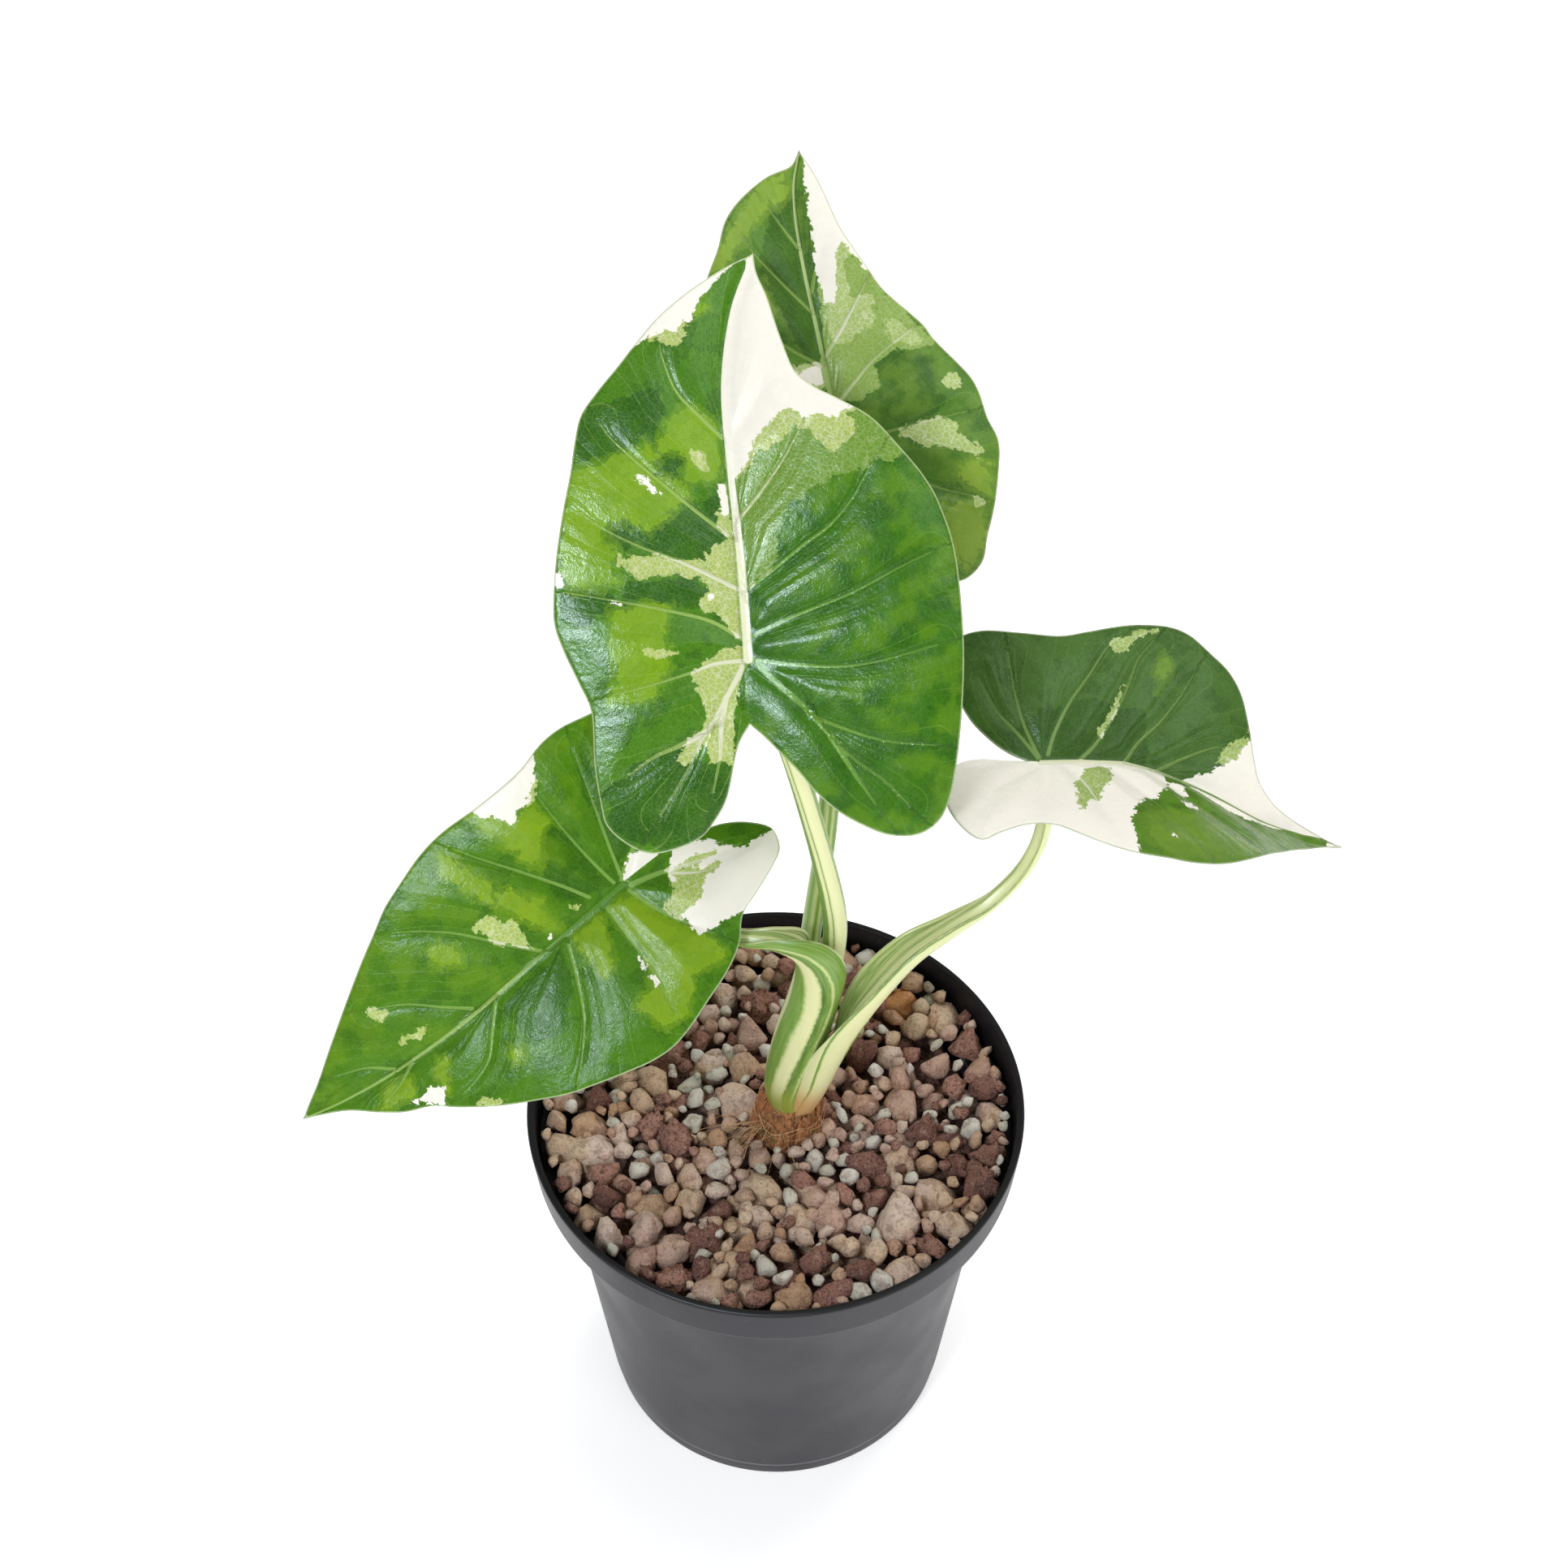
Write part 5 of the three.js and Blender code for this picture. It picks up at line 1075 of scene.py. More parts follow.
# %% Cut the drain holes
def drain_tree():
    plan = Plan("cut_drain_holes", Holes=("Int", 8), Ring=("Float", 0.027), Radius=("Float", 0.004))
    put, given = plan.put, plan.given
    ring = put("MeshCircle", Vertices=given["Holes"], Radius=given["Ring"])
    half_step = put("ShaderNodeCombineXYZ", Z=plan.calculate("DIVIDE", math.pi, given["Holes"]))
    placed = put("Transform", Geometry=ring.outputs[0], Rotation=half_step.outputs[0])
    rod = put("MeshCylinder", Vertices=24, Radius=given["Radius"], Depth=0.02)
    rods = put("InstanceOnPoints", Points=placed.outputs[0], Instance=rod.outputs["Mesh"])
    rods = put("RealizeInstances", Geometry=rods.outputs[0])
    return plan.end(put("MeshBoolean", {"operation": "DIFFERENCE"}, _0=given[0], _1=rods.outputs[0]).outputs["Mesh"])


def sharpen(piece, angle):
    """Faces outward, round surfaces smooth, and edges steeper than the angle crisp."""
    sketch = bmesh.new()
    sketch.from_mesh(piece.data)
    bmesh.ops.recalc_face_normals(sketch, faces=sketch.faces)
    for edge in sketch.edges:
        edge.smooth = len(edge.link_faces) < 2 or edge.calc_face_angle(0) < math.radians(angle)
    sketch.to_mesh(piece.data)
    sketch.free()


pot_body = smooth(run_tree(pot_body, drain_tree(), {"Material": pot_skin}, "pot_shell"))
sharpen(pot_body, 40)
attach(pot_body, "root")
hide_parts("pot")

# %% [markdown]
# ## The grit
#
# The mix is pumice, lava and zeolite. Grains that are strewn on a grid look laid by hand; real ones have
# rolled down into the gaps. So each grain is dropped here: it tries a few spots, and stays at the
# lowest place where it touches the shelf of the pot or the grains under it. The coarse ones fall first,
# then small ones in nests, then fine ones all over. A tree then puts a stone on each place. The stones
# are a few shapes of 80 or 320 faces, and their pores are in the finish.

# %% Drop the grains
GRIT_FLOOR, SHELF = 82.5, 91.0
NECK_INSIDE, BAND_INSIDE = 50.9, 56.9
SHELF_LARGEST = 4.6
CORM_PLACE, CORM_CLEAR = np.array([1.5, -1.6]), 7
TOP_INSIDE, TOP_AT_RIM, RIM_FROM = 97.6, 99.2, 42
SEEN_ABOVE = 86
TRIES, NEST_TRIES, NEST_SPREAD = 14, 5, 2.5


def resting_height(spot, radius, grains):
    """The height at which a grain of this radius comes to rest at a spot."""
    height = (SHELF if np.hypot(*spot) > NECK_INSIDE - 0.5 * radius else GRIT_FLOOR) + 0.8 * radius
    if len(grains):
        apart = np.hypot(grains[:, 0] - spot[0], grains[:, 1] - spot[1])
        reach = 0.84 * (grains[:, 3] + radius)
        near = apart < reach
        if near.any():
            height = max(height, (grains[near, 2] + np.sqrt(reach[near] ** 2 - apart[near] ** 2) * 0.86).max())
    return height


def drop_grains(grains, sizes, spots=None):
    """Drops grains of these radii one by one on the others; each tries a few spots, its own first where
    it has one, and keeps the lowest. A grain is its place and its radius."""
    for number, radius in enumerate(sizes):
        best = None
        for _ in range(TRIES if spots is None else NEST_TRIES):
            turn, out = rng.uniform(0, math.tau), BAND_INSIDE * min(1, math.sqrt(1.25 * rng.random()))
            if spots is not None:
                x, y = spots[number] + rng.normal(0, NEST_SPREAD, 2)
                turn, out = math.atan2(y, x), math.hypot(x, y)
            radius_here = min(radius, SHELF_LARGEST) if out > NECK_INSIDE - 2 else radius
            out = min(out, BAND_INSIDE - radius_here)
            spot = np.array([out * math.cos(turn), out * math.sin(turn)])
            if np.hypot(*(spot - CORM_PLACE)) < CORM_CLEAR + 0.7 * radius_here:
                continue
            height = resting_height(spot, radius_here, grains)
            top = TOP_INSIDE if out < RIM_FROM else TOP_AT_RIM
            if height + 0.7 * radius_here < top and (best is None or height < best[2]):
                best = (*spot, height, radius_here)
        if best:
            grains = np.vstack([grains, best])
    return grains


# Radii in millimetres: most coarse grains are near 5, the small ones fill what is left.
coarse = np.clip(rng.lognormal(math.log(5.0), 0.3, 1000), 3.0, 8.0)
rng.shuffle(coarse)
grains = drop_grains(np.empty((0, 4)), coarse)
nests = rng.uniform(-46, 46, (18, 2))
grains = drop_grains(grains, rng.uniform(2.0, 3.6, 160), nests[rng.integers(0, len(nests), 160)])
grains = drop_grains(grains, rng.uniform(2.4, 3.6, 400))
grains = drop_grains(grains, rng.uniform(1.4, 2.4, 500))
grains = grains[grains[:, 2] > SEEN_ABOVE]
grain_places, grain_radii = grains[:, :3], grains[:, 3]
print("grains:", len(grains), "highest:", round(float((grains[:, 2] + 0.8 * grain_radii).max()), 1))


# %% Shapes of stone
DENTS = ((1.2, 0), (3.6, 1), (8, 2))
FLAT_FROM, WORN = 0.66, 0.85


def stone_shape(name, detail, rough, flats, seed):
    """A unit stone: a ball dented by noise, then worn flat on a few sides."""
    sketch = bmesh.new()
    bmesh.ops.create_icosphere(sketch, subdivisions=detail, radius=1)
    facings = [Vector(v).normalized() for v in np.random.default_rng(seed).normal(size=(flats, 3))]
    for vertex in sketch.verts:
        heading = vertex.co.normalized()
        swell = 0
        for (size, axis), depth in zip(DENTS, (0.36, rough, 0.4 * rough)):
            away = Vector((0, 0, 0))
            away[axis] = seed
            swell += depth * noise.noise(heading * size + away)
        vertex.co = heading * (1 + swell)
        for facing in facings:
            over = vertex.co.dot(facing) - FLAT_FROM
            if over > 0:
                vertex.co -= facing * over * WORN
    mesh = bpy.data.meshes.new(name)
    sketch.to_mesh(mesh)
    sketch.free()
    stone = in_scene(name, mesh)
    stone.hide_render = True
    return stone


# %% Stone finish
PUMICE_OR_LAVA, LAVA_OR_ZEOLITE, ZEOLITE_OR_ORANGE = (0.4, 0.6), (1.4, 1.6), (2.4, 2.6)


def grit_finish():
    finish = Finish("mixed_grit", Roughness=0.93, Specular_IOR_Level=0.25)
    field, ease, mix, _, times = finish.words()
    here = finish.here()
    kind, shade = field("kind"), field("shade")
    is_lava, is_zeolite, is_orange = (ease(kind, *limits) for limits in (
        PUMICE_OR_LAVA, LAVA_OR_ZEOLITE, ZEOLITE_OR_ORANGE))
    blush = ease(finish.clouds(here, 55, 2), 0.42, 0.58)
    colour = mix(shade, mix(blush, tone(202, 158, 122), tone(210, 166, 146)),
                 mix(blush, tone(242, 214, 184), tone(246, 222, 206)))
    colour = mix(is_lava, colour, mix(shade, tone(128, 88, 78), tone(194, 144, 126)))
    colour = mix(is_zeolite, colour, mix(shade, tone(212, 208, 190), tone(250, 244, 234)))
    colour = mix(is_orange, colour, tone(212, 150, 96))
    colour = mix(ease(finish.clouds(here, 330, 6, 0.75), 0.5, 0.6, 0.0, 0.5), colour, tone(150, 104, 84))
    # Painted shade: the lower a point of grit lies, the darker it is, as the shade in the crevices between the grains.
    height = finish.split(here)["Z"]
    colour = mix(ease(height, 0.0955, 0.0885, 0.0, 0.55), colour, tone(86, 62, 52))
    colour = mix(ease(finish.clouds(here, 700, 5, 0.7), 0.54, 0.64, 0.0, 0.3), colour, tone(232, 210, 196))

    # Pores, painted dark as the shade inside them: most in lava, some in pumice, hardly any in zeolite.
    pores = times(ease(finish.cells(here, 620), 0.12, 0.42, 1.0, 0.0),
                  ease(finish.clouds(here, 260, 2), 0.5, 0.6, 0.1, 0.8))
    fine_pores = ease(finish.cells(here, 1400), 0.12, 0.45, 0.5, 0.0)
    porous = mix(is_zeolite, mix(is_lava, (0.45, 0.45, 0.45, 1), (1, 1, 1, 1)), (0.12, 0.12, 0.12, 1))
    holes = times(finish.most(pores, fine_pores), porous)
    # Painted shade in the pores.
    colour = mix(times(holes, 0.75), colour, tone(70, 46, 40))
    finish.bump(finish.minus(finish.clouds(here, 900, 5, 0.75), holes), 0.9, 1.0)
    return finish.colour(colour)


# %% Put a stone on each place
def strewing_tree():
    plan = Plan("strew_stones", Stone=("Object", None))
    shape = plan.put("ObjectInfo", Object=plan.given["Stone"], As_Instance=False)
    stones = plan.put("InstanceOnPoints", Points=plan.given[0], Instance=shape.outputs["Geometry"],
                      Rotation=plan.read("turn"), Scale=plan.read("size"))
    return plan.end(stones.outputs[0])


def strew(tree, stone, chosen, name, material):
    host = loose_host(name + "_places", grain_places[chosen])
    count = int(chosen.sum())
    flat_share = rng.uniform(0.66, 1.22, (count, 3))
    write_field(host, "size", grain_radii[chosen][:, None] * MM * flat_share)
    write_field(host, "turn", rng.uniform(0, math.tau, (count, 3)))
    write_field(host, "kind", grain_kinds[chosen])
    write_field(host, "shade", rng.random(count))
    return run_tree(host, tree, {"Stone": stone, "Material": material}, name)


PUMICE, LAVA, ZEOLITE, ORANGE = range(4)
SMALL_UNDER, FINE_SHAPE_FROM, ZEOLITE_LARGEST = 3.2, 3.8, 4.4
grain_kinds = rng.choice([PUMICE, LAVA, ZEOLITE, ORANGE], len(grains), p=[0.57, 0.30, 0.12, 0.01]).astype(float)
small = grain_radii < SMALL_UNDER
grain_kinds[small] = rng.choice([PUMICE, LAVA, ZEOLITE], small.sum(), p=[0.55, 0.17, 0.28])
grain_kinds[(grain_kinds == ZEOLITE) & (grain_radii > ZEOLITE_LARGEST)] = PUMICE
# Roughness, worn sides and seed of each shape.
SHAPES = {PUMICE: [(0.2, 4, 1), (0.3, 6, 5), (0.16, 5, 9)], LAVA: [(0.6, 3, 13), (0.5, 5, 17)],
          ZEOLITE: [(0.2, 9, 21), (0.26, 11, 25)], ORANGE: [(0.2, 5, 29)]}
grit_skin = grit_finish()
strewing = strewing_tree()
handfuls = []
for kind, shapes in SHAPES.items():
    of_kind = grain_kinds == kind
    variety = rng.integers(0, len(shapes), len(grains))
    for number, (rough, flats, seed) in enumerate(shapes):
        for detail, chosen in ((3, grain_radii >= FINE_SHAPE_FROM), (2, grain_radii < FINE_SHAPE_FROM)):
            picked = chosen & of_kind & (variety == number)
            if picked.any():
                label = f"{kind}_{number}_{detail}"
                stone = stone_shape("stone_" + label, detail, rough, flats, seed)
                handfuls.append(strew(strewing, stone, picked, "handful_" + label, grit_skin))
                bpy.data.objects.remove(stone)

# %% One body of grit: the filling of the pot, and the grains on it
FILLING_PROFILE = [(0, 4.5), (41.2, 4.5), (50.2, 86.5), (48, 88.4), (30, 89), (0, 89)]
filling = turned("grit_filling", FILLING_PROFILE, 72, grit_skin)
# The filling stands for the grit below; it takes the darkest lava tone as painted shade in the gaps between the grains.
for key, value in (("kind", LAVA), ("shade", 0)):
    write_field(filling, key, np.full(len(filling.data.vertices), value))

# The pot's inner faces, a little inside: its wall as (height, radius), its shelf as (radius, height).
WALL_IN = ((4.6, 41.65), (90.6, 50.85))
SHELF_IN = ((51.2, 90.7), (57.5, 91.7))
BAND_IN = 57.3
SHELF_ZONE = 88.8


def on_line(ends, value):
    (a, at_a), (b, at_b) = ends
    return at_a + (value - a) * (at_b - at_a) / (b - a)


def join(pieces, name):
    bpy.ops.object.select_all(action="DESELECT")
    for piece in pieces:
        piece.select_set(True)
    bpy.context.view_layer.objects.active = pieces[0]
    bpy.ops.object.join()
    pieces[0].name = name
    return pieces[0]


def press_inside(piece):
    """Presses stones that would poke through the pot back against its shelf and its wall."""
    points = np.empty(3 * len(piece.data.vertices))
    piece.data.vertices.foreach_get("co", points)
    x, y, z = points.reshape(-1, 3).T / MM
    out = np.hypot(x, y)
    shelf = np.maximum(SHELF_IN[0][1], on_line(SHELF_IN, out))
    z = np.where((out > NECK_INSIDE) & (z > SHELF_ZONE), np.maximum(z, shelf), z)
    wall = np.where(z > WALL_IN[1][0], BAND_IN, on_line(WALL_IN, z))
    squeeze = np.minimum(1, wall / np.maximum(out, 1))
    piece.data.vertices.foreach_set("co", (np.column_stack([x * squeeze, y * squeeze, z]) * MM).ravel())
    print("grit points pressed back:", int((squeeze < 1).sum()))


sharpen(filling, 60)
grit = join([filling, *handfuls], "grit_grains")
press_inside(grit)
smooth(grit)
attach(grit, "root")
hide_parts("grit_bed")
print("grit faces:", len(grit.data.polygons))

# %% [markdown]
# ## The corm and its husk
#
# The corm is the swollen stem base that carries the stalks. Old leaf bases have dried on it to a brown
# husk of fibres that run round and upward. Its body is made as rings of points, so that it can lean and
# be lumpy, and a tree sweeps a thin round section along every fibre.

# %% Corm body
CORM_PROFILE = [(3, 70), (6.5, 78), (8, 88), (8.4, 94.5), (7.9, 99.5), (7.1, 104), (6, 108)]
CORM_FOOT, CORM_HEAD = (1.5, -1.6, 69.5), (4.4, -1.6, 108.6)
CORM_RINGS, CORM_SIDES = 46, 72
LEAN_FROM, LEAN = 92.6, 0.2
OVAL = 0.88
HUSK_TOP = 109


def corm_point(turn, height, out):
    """A point of the corm's skin, or out of it by a distance."""
    radii, heights = np.array(CORM_PROFILE).T
    radius = float(np.interp(height, heights, radii))
    rib = 1 + 0.05 * math.sin(5 * turn + 0.3 * height)
    heading = Vector((math.cos(turn), math.sin(turn), 0))
    lump = 0.9 * noise.noise(heading * 1.6 + Vector((0, 0, height * 0.12)))
    lump += 0.45 * noise.noise(heading * 4.5 + Vector((3, 0, height * 0.4)))
    reach = radius * rib + lump + out
    lean = max(0, height - LEAN_FROM) * LEAN
    return (reach * heading.x + CORM_PLACE[0] + lean, OVAL * reach * heading.y + CORM_PLACE[1], height)


def corm_body():
    """Rings of points from the foot to the head, closed by a fan at each end."""
    points = [CORM_FOOT]
    for height in 70 + 38 * np.arange(CORM_RINGS) / (CORM_RINGS - 1):
        points += [corm_point(math.tau * i / CORM_SIDES, float(height), 0) for i in range(CORM_SIDES)]
    points.append(CORM_HEAD)
    faces = []
    for i in range(CORM_SIDES):
        after = (i + 1) % CORM_SIDES
        faces.append((0, 1 + after, 1 + i))
        for low in range(1, len(points) - 1 - CORM_SIDES, CORM_SIDES):
            high = low + CORM_SIDES
            faces.append((low + i, low + after, high + after, high + i))
        last = len(points) - 1 - CORM_SIDES
        faces.append((last + i, last + after, len(points) - 1))
    return points, faces


# %% Husk finish
def husk_finish(name, shade, light):
    finish = Finish(name, Roughness=0.85, Specular_IOR_Level=0.3)
    here = finish.here()
    streaks = finish.put("ShaderNodeMapping", Vector=here, Scale=(1.0, 1.0, 0.35)).outputs[0]
    fibre = finish.clouds(streaks, 1500, 5, 0.65)
    patches = finish.clouds(here, 150, 3)
    colour = finish.mix(finish.ease(fibre, 0.35, 0.65), shade, light)
    colour = finish.mix(finish.ease(patches, 0.55, 0.64, 0.0, 0.6), colour, tone(184, 118, 72))
    colour = finish.mix(finish.ease(patches, 0.42, 0.36, 0.0, 0.6), colour, tone(110, 98, 48))
    finish.bump(fibre, 0.4, 0.9)
    return finish.colour(colour)


husk_skin = husk_finish("fibrous_husk", tone(112, 72, 44), tone(186, 128, 80))
fibre_skin = husk_finish("loose_fibres", tone(190, 136, 90), tone(234, 196, 152))
corm = mesh_piece("corm_body", *corm_body(), husk_skin)
print("corm body faces:", len(corm.data.polygons))


# %% Torn scales of old leaf bases, as thin strips that peel off at the top
SCALES, SCALE_GRID, SCALE_HALF = 16, 9, 0.16


def scale_strip():
    """A closed strip on the husk with a ragged upper edge."""
    turn, width = rng.uniform(0, math.tau), rng.uniform(0.35, 0.8)
    foot, head = rng.uniform(90, 97), rng.uniform(103, 109)
    tatter = rng.uniform(-3.2, 0.4, SCALE_GRID)
    peel = rng.uniform(0.1, 0.9)
    steps = np.linspace(0, 1, SCALE_GRID)

    def surface(off):
        return np.array([corm_point(turn + width * (across - 0.5),
                                    foot + (min(head + torn, HUSK_TOP) - foot) * up, 0.25 + peel * up**2 + off)
                         for across, torn in zip(steps, tatter) for up in steps])

    faces = []
    for column in range(SCALE_GRID - 1):
        for a in range(column * SCALE_GRID, (column + 1) * SCALE_GRID - 1):
            b = a + SCALE_GRID
            faces += [(a, b, b + 1), (a, b + 1, a + 1)]
    return closed_skin(surface(SCALE_HALF), surface(-SCALE_HALF), faces)


scales = [mesh_piece(f"scale_{i}", *scale_strip(), husk_skin) for i in range(SCALES)]
print("scales:", len(scales))


# %% Fibres of the husk
def fibre_tree():
    plan = Plan("sweep_fibres", Radius=("Float", 0.0001))
    put, width = plan.put, plan.read("width", "FLOAT")
    paths = put("MeshToCurve", Mesh=plan.given[0])
    thin = put("SetCurveRadius", Curve=paths.outputs[0], Radius=width)
    section = put("CurvePrimitiveCircle", Resolution=4, Radius=plan.given["Radius"])
    swept = put("CurveToMesh", Curve=thin.outputs[0], Profile_Curve=section.outputs[0], Fill_Caps=True)
    if "Scale" in swept.inputs:
        plan.plug(width, swept.inputs["Scale"])
    return plan.end(swept.outputs[0])


def clinging_fibre():
    """A fibre that climbs the husk and drifts round it."""
    turn, height = rng.uniform(0, math.tau), rng.uniform(92, 103)
    drift, climb, stand_off = rng.normal(0, 0.1), rng.uniform(0.2, 1.2), rng.uniform(0, 0.05)
    return [corm_point(turn + drift * i, min(height + climb * i, HUSK_TOP), 0.3 + stand_off * i**1.3)
            for i in range(rng.integers(7, 13))]


def wandering_fibre():
    """A long fibre that lies round the husk in loose waves."""
    turn, height = rng.uniform(0, math.tau), rng.uniform(94, 106)
    drift, wave, slope = rng.choice([-1, 1]) * rng.uniform(0.1, 0.22), rng.uniform(0.5, 1.6), rng.normal(0, 0.35)
    phase = rng.uniform(0, 6)
    return [corm_point(turn + drift * i, np.clip(height + slope * i + wave * math.sin(phase + 0.8 * i), 93.5, HUSK_TOP),
                       0.5 + 0.5 * (1 + math.sin(phase * 2 + 0.6 * i))) for i in range(14)]


def straying_fibre():
    """A stiff hair that leaves the husk and lies out over the stones, mostly to the front left."""
    turn = rng.normal(math.pi * 1.18, 0.35)
    x, y, z = corm_point(turn, rng.uniform(97, 102), 0.2)
    heading, length = turn + rng.normal(0, 0.35), rng.uniform(7, 18)
    lift = rng.uniform(0.5, 2.5)
    return [(x + math.cos(heading) * length * s, y + math.sin(heading) * length * s,
             z + lift * math.sin(2.4 * s) - max(0, z - 98.6) * s) for s in np.linspace(0, 1, 8)]


FIBRE_COUNTS = ((clinging_fibre, 42), (wandering_fibre, 7), (straying_fibre, 26))
fibre_paths = [through(kind_of_fibre(), 2) for kind_of_fibre, count in FIBRE_COUNTS for _ in range(count)]
fibre_host = line_host("fibre_paths", fibre_paths)
fibre_widths = [rng.uniform(0.6, 1.7) * np.linspace(1, 0.4, len(path)) for path in fibre_paths]
write_field(fibre_host, "width", np.concatenate(fibre_widths))
fibres = run_tree(fibre_host, fibre_tree(), {"Material": fibre_skin}, "corm_fibres")
corm = join([corm, *scales, fibres], "corm_husk")
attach(corm, "root")
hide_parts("corm")
print("corm faces:", len(corm.data.polygons))

# %% [markdown]
# ## The stalks
#
# A leaf stalk is a solid keel with two thin wings, which wrap round the younger stalks as a sheath
# below, and close to a full round stem above. The solids are lofts of such sections, and the look uses
# the same stations with more steps and sides. Each point knows how far along the stalk and how far round it
# lies, so that the stripes of cream and green run along it as they grew.

# %% Stations of the four stalks
def stem(x, y, z, face_x, face_y, face_z, radius, keel):
    """A station of the round stem: wrapped by a quarter turn to each side."""
    return x, y, z, face_x, face_y, face_z, radius, 90, 90, keel, 0.4


# Place, direction of the open side, radius, wrap to the left and right in degrees, keel, edge.
STALKS = {
    "petiole_right": [
        (6.4, -5, 104, -0.5, 0.8, 0.2, 4.2, 80, 100, 3.2, 0.9),
        (9.2, -6, 113, -0.5, 0.8, 0.3, 4.5, 90, 100, 3.6, 0.9),
        (13.1, -6, 125.6, -0.6, 0.7, 0.4, 4.8, 105, 95, 4, 0.8),
        (17.8, -5, 137, -0.7, 0.5, 0.5, 5, 120, 85, 4.2, 0.8),
        (23.8, -3, 148, -0.7, 0.3, 0.65, 4.8, 128, 80, 4.3, 0.8),
        (31.2, 0.4, 156.8, -0.6, 0.2, 0.8, 4, 128, 90, 4.3, 0.8),
        (39.9, 4.5, 161.4, -0.4, 0.1, 0.9, 2.9, 125, 105, 4.2, 0.9), stem(48.8, 8.5, 166, -0.5, 0, 0.85, 2.4, 4),
        stem(56.5, 12, 174.8, -0.8, 0, 0.6, 2.2, 3.7), stem(59.6, 14, 187, -1, 0, 0.1, 2.1, 3.6),
        stem(57.8, 16, 201.8, -1, 0, -0.1, 2, 3.4)],
    "petiole_left": [
        (0.4, -3.4, 104, 0.9, 0.35, 0.1, 5, 120, 80, 3, 0.9),
        (-0.8, -3.6, 114, 0.9, 0.35, 0, 5.6, 130, 80, 3.3, 0.9),
        (2, -3.6, 130, 0.85, 0.45, 0, 6.2, 142, 75, 3.5, 0.8),
        (5.6, -3.2, 145, 0.85, 0.5, 0.1, 6, 150, 70, 3.8, 0.8),
        (6.8, -2.8, 154.6, 0.85, 0.35, 0.4, 5.8, 150, 75, 4, 0.8),
        (5.4, -2.6, 161, 0.6, 0.2, 0.8, 4.9, 146, 90, 4, 0.8), (0.2, -2.2, 164.4, 0.1, 0.1, 1, 3, 128, 110, 4, 0.9),
        stem(-9, -1, 164.8, 0, 0, 1, 2.3, 3.9), stem(-21, 1.6, 167.8, 0.3, 0, 0.95, 2.15, 3.6),
        stem(-33.2, 5.2, 174.6, 0.4, 0, 0.9, 2, 3.3)],
    "petiole_front": [
        stem(6.4, -0.8, 104, 0, 1, 0, 2.5, 3.6), stem(8.6, 0.6, 122, -0.2, 1, 0, 2.8, 4),
        stem(12, 2.4, 144, -0.3, 1, 0, 3, 4.2), stem(13.6, 3.4, 164, -0.3, 1, 0, 2.8, 4.4),
        stem(10.2, 4.5, 186, -0.2, 1, 0, 2.5, 4.2), stem(4.4, 6.3, 211.9, 0, 1, 0, 2.35, 4),
        stem(-0.9, 7.2, 229.4, 0, 1, 0.2, 2.15, 3.6), stem(-5, 8.4, 240.8, 0, 1, 0.3, 2, 3.4)],
    "petiole_rear": [
        stem(3.8, 2.6, 104, 0, 1, 0, 2.4, 3.8), stem(6, 5.8, 128, 0, 1, 0, 2.5, 4.1),
        stem(8.2, 9.6, 153, 0, 1, 0, 2.4, 4.1), stem(11.9, 18, 185.7, 0, 1, -0.2, 2.3, 4),
        stem(13.4, 36.4, 221.6, 0, 1, -0.3, 2.15, 3.7), stem(14.5, 54.5, 254.4, 0, 1, -0.3, 1.95, 3.3)],
}
STALK_SIDES = 30


def stalk_section(radius, wrap_left, wrap_right, keel, edge):
    """The section in its own plane: the outer curve from left to right, then the inner face back."""
    share = np.linspace(-1, 1, STALK_SIDES)
    angle = np.radians(np.where(share < 0, wrap_left, wrap_right)) * share
    filling = (keel - edge) * (1 - share**2) ** 1.8
    heading = np.column_stack([np.sin(angle), -np.cos(angle)])
    centre = np.array([0, radius - keel / 2])
    outer = heading * radius + centre
    inner = heading * (radius - edge) + centre + np.column_stack([np.zeros(STALK_SIDES), filling])
    return np.vstack([outer, inner[::-1]]), np.r_[share, share[::-1]]


def stalk_mesh(stations):
    """Points and faces of a stalk, and how far round, inside or out, and along it each point lies."""
    values = through(stations, 14)
    places = values[:, :3]
    headings = np.gradient(places, axis=0)
    headings /= np.linalg.norm(headings, axis=1)[:, None]
    points, rounds, insides = [], [], []
    for place, heading, row in zip(places, headings, values):
        face = row[3:6] - heading * (row[3:6] @ heading)
        face /= np.linalg.norm(face)
        right = np.cross(heading, face)
        section, share = stalk_section(*row[6:])
        points.append(place + section[:, :1] * right + section[:, 1:] * face)
        rounds.append(share)
        insides.append(np.r_[np.zeros(STALK_SIDES), np.ones(STALK_SIDES)])
    ring, count = 2 * STALK_SIDES, len(points)
    faces = [(k * ring + (i + 1) % ring, k * ring + i, (k + 1) * ring + i, (k + 1) * ring + (i + 1) % ring)
             for k in range(count - 1) for i in range(ring)]
    for i in range(STALK_SIDES - 1):
        faces.append((i, i + 1, ring - 2 - i, ring - 1 - i))
        top = (count - 1) * ring
        faces.append((top + ring - 1 - i, top + ring - 2 - i, top + i + 1, top + i))
    lengths = np.r_[0, np.cumsum(np.linalg.norm(np.diff(places, axis=0), axis=1))]
    along = np.repeat(lengths, ring)
    return np.vstack(points), faces, np.concatenate(rounds), np.concatenate(insides), along


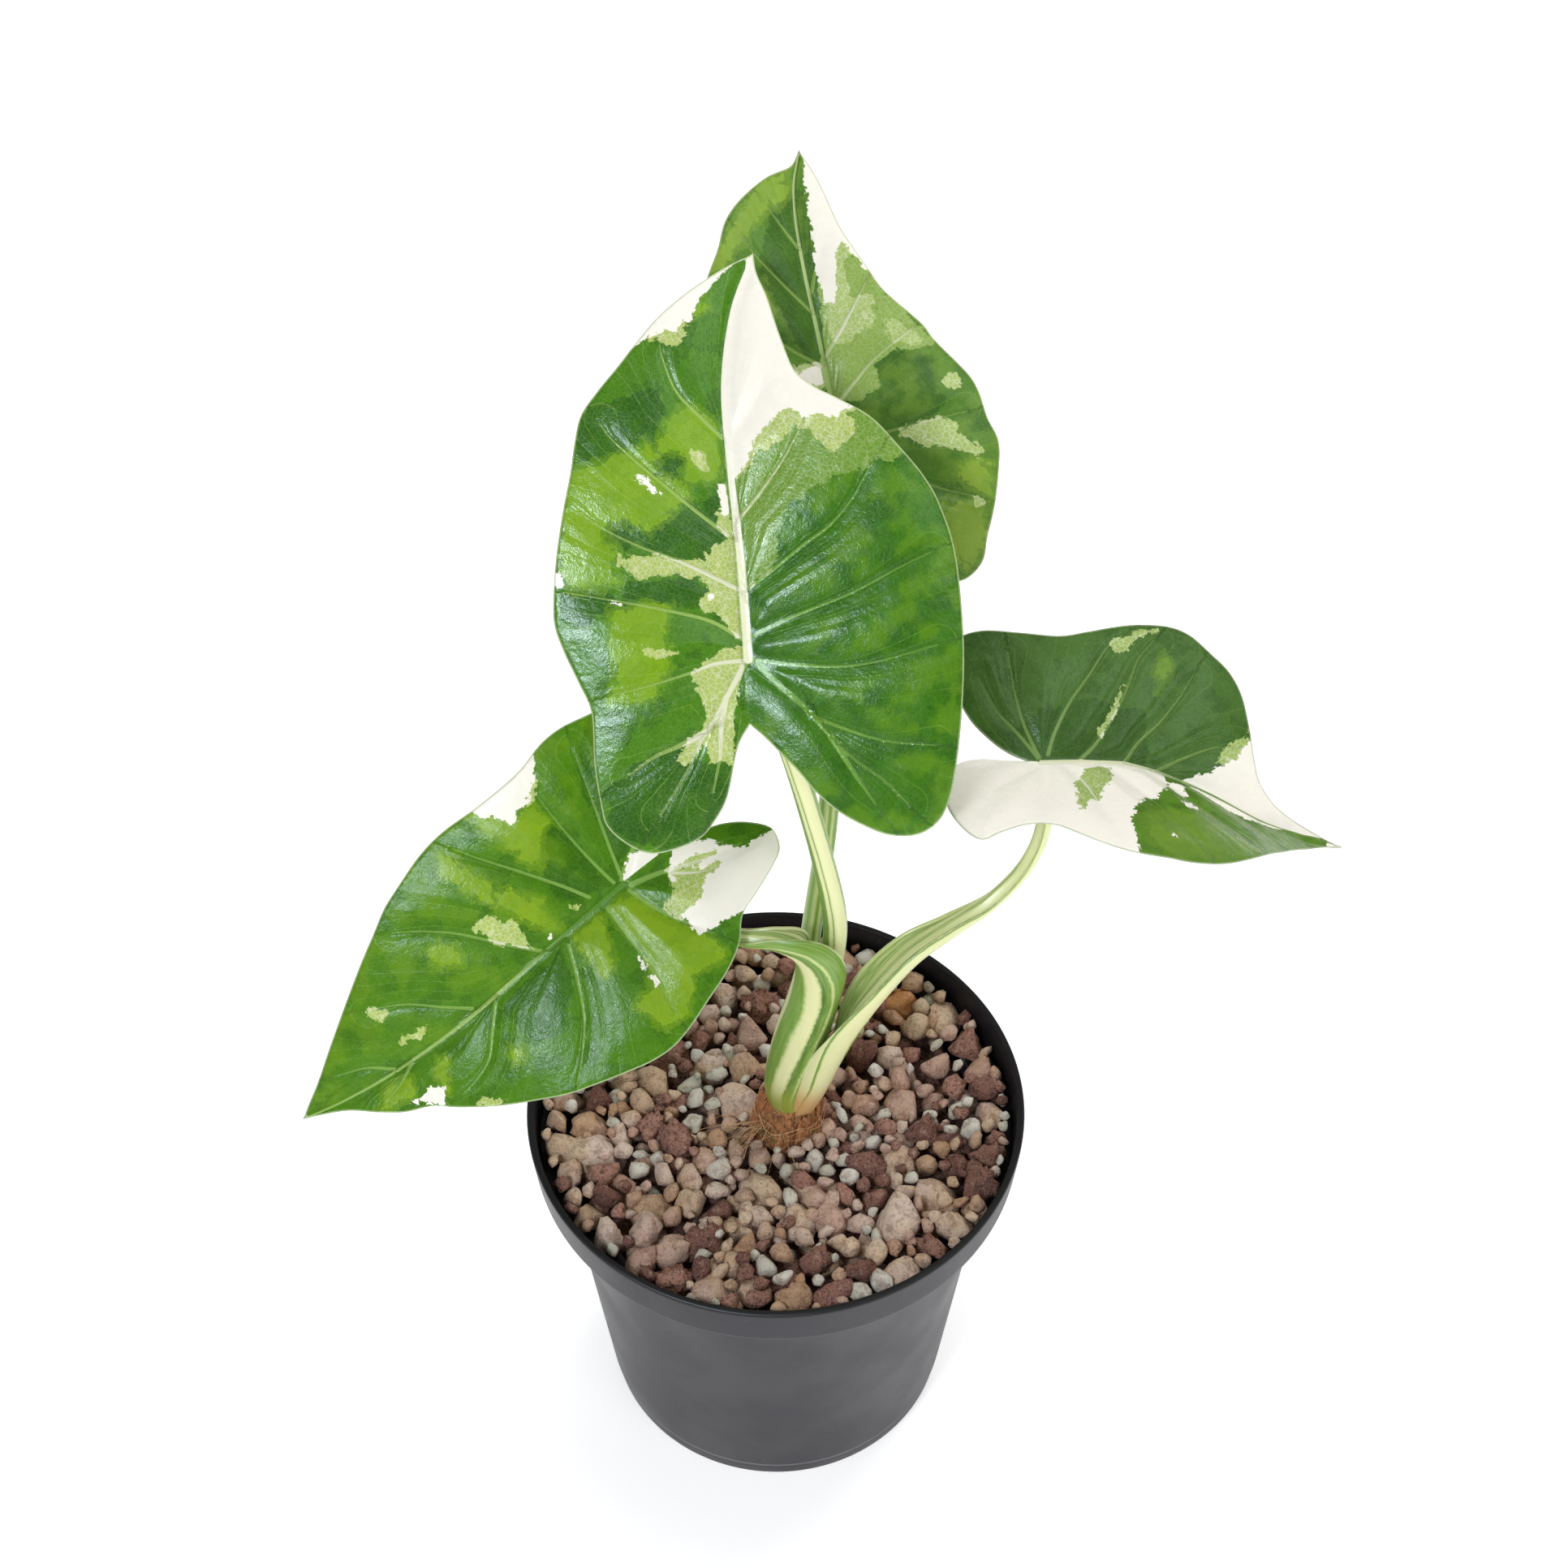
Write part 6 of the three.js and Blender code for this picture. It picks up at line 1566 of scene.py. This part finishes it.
# %% Stalk finish
def stalk_finish(name, stripes, inner, foot, twist=0.0, pale_from=300):
    """Stripes are (place round the stalk from -1 to 1, colour); inner and foot are the colours of the inner
    face and the foot. The stripes twist by this much at the foot, and the stem turns pale from pale_from
    mm up, but for its edges."""
    finish = Finish(name, Roughness=0.3)
    field, ease, mix, plus, times = finish.words()
    here = finish.here()
    round_stalk, along = field("round"), field("along")
    drift = finish.sway(finish.clouds(here, 60, 2), 0.14)
    waver = finish.sway(finish.clouds(here, 700, 3), 0.06)
    spot = plus(round_stalk, drift, waver, ease(along, 12.0, 38.0, twist, 0.0))
    ramp = finish.put("ShaderNodeValToRGB", Fac=ease(spot, -1.0, 1.0, step="LINEAR"))
    elements = ramp.color_ramp.elements
    elements.remove(elements[-1])
    for number, (place, stripe) in enumerate(stripes):
        element = elements.new((place + 1) / 2) if number else elements[0]
        element.position, element.color = (place + 1) / 2, stripe
    striped = ramp.outputs["Color"]
    grain_place = finish.put("ShaderNodeCombineXYZ", X=times(round_stalk, 30.0), Y=times(along, 0.12))
    grain = finish.clouds(grain_place.outputs[0], 1.0, 4)
    colour = mix(ease(grain, 0.35, 0.7, 0.0, 0.25), striped, inner)
    fading = times(ease(finish.size(spot), 0.98, 0.8), ease(along, pale_from, pale_from + 14.0, 0.0, 0.9))
    colour = mix(fading, colour, tone(216, 221, 164))
    colour = mix(times(field("inside"), 0.8), colour, mix(ease(grain, 0.4, 0.62), inner, striped))
    colour = mix(ease(plus(along, times(drift, 30)), 17.0, 5.0, 0.0, 0.9), colour, foot)
    finish.bump(grain, 0.12, 0.4)
    return finish.colour(colour)


CREAM, PALE, LEAFY, DEEP = tone(226, 227, 174), tone(204, 214, 148), tone(106, 148, 46), tone(66, 110, 34)
STALK_TONES = {
    "petiole_right": dict(
        stripes=[(-1, PALE), (-0.8, LEAFY), (-0.34, LEAFY), (-0.28, PALE), (-0.2, CREAM), (-0.08, CREAM),
                 (-0.02, LEAFY), (0.16, LEAFY), (0.22, PALE), (0.28, CREAM), (0.86, CREAM), (0.9, PALE),
                 (0.93, LEAFY), (0.97, LEAFY), (1, CREAM)],
        inner=PALE, foot=tone(206, 158, 100), twist=0.5, pale_from=44),
    "petiole_left": dict(
        stripes=[(-1, PALE), (-0.96, LEAFY), (-0.66, LEAFY), (-0.62, PALE), (-0.58, LEAFY), (-0.46, DEEP),
                 (-0.42, PALE), (-0.39, CREAM), (-0.24, CREAM), (-0.2, PALE), (-0.15, LEAFY), (0.2, LEAFY),
                 (0.3, CREAM), (0.5, CREAM), (0.56, DEEP), (0.64, LEAFY), (0.7, CREAM), (0.82, CREAM),
                 (0.86, DEEP), (0.92, LEAFY), (1, CREAM)],
        inner=PALE, foot=tone(150, 160, 64)),
    "petiole_front": dict(
        stripes=[(-1, LEAFY), (-0.62, LEAFY), (-0.5, CREAM), (0.08, CREAM), (0.18, PALE), (0.24, DEEP),
                 (0.28, PALE), (0.36, CREAM), (0.46, CREAM), (0.54, LEAFY), (1, LEAFY)],
        inner=PALE, foot=tone(190, 160, 96)),
    "petiole_rear": dict(
        stripes=[(-1, LEAFY), (-0.5, LEAFY), (-0.3, PALE), (-0.1, LEAFY), (0.1, PALE), (0.4, LEAFY), (1, PALE)],
        inner=LEAFY, foot=tone(170, 150, 84)),
}
print("stripes:", {name: len(tones["stripes"]) for name, tones in STALK_TONES.items()})

# %% Make the four stalks
for stalk_name, stations in STALKS.items():
    points, faces, rounds, insides, along = stalk_mesh(stations)
    skin = stalk_finish(stalk_name + "_skin", **STALK_TONES[stalk_name])
    stalk = mesh_piece(stalk_name + "_stalk", points, faces, skin)
    for key, values in (("round", rounds), ("inside", insides), ("along", along)):
        write_field(stalk, key, values)
    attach(stalk, "root")
    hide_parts(stalk_name)
    print(stalk_name, "faces:", len(faces), "length mm:", round(float(along.max())))
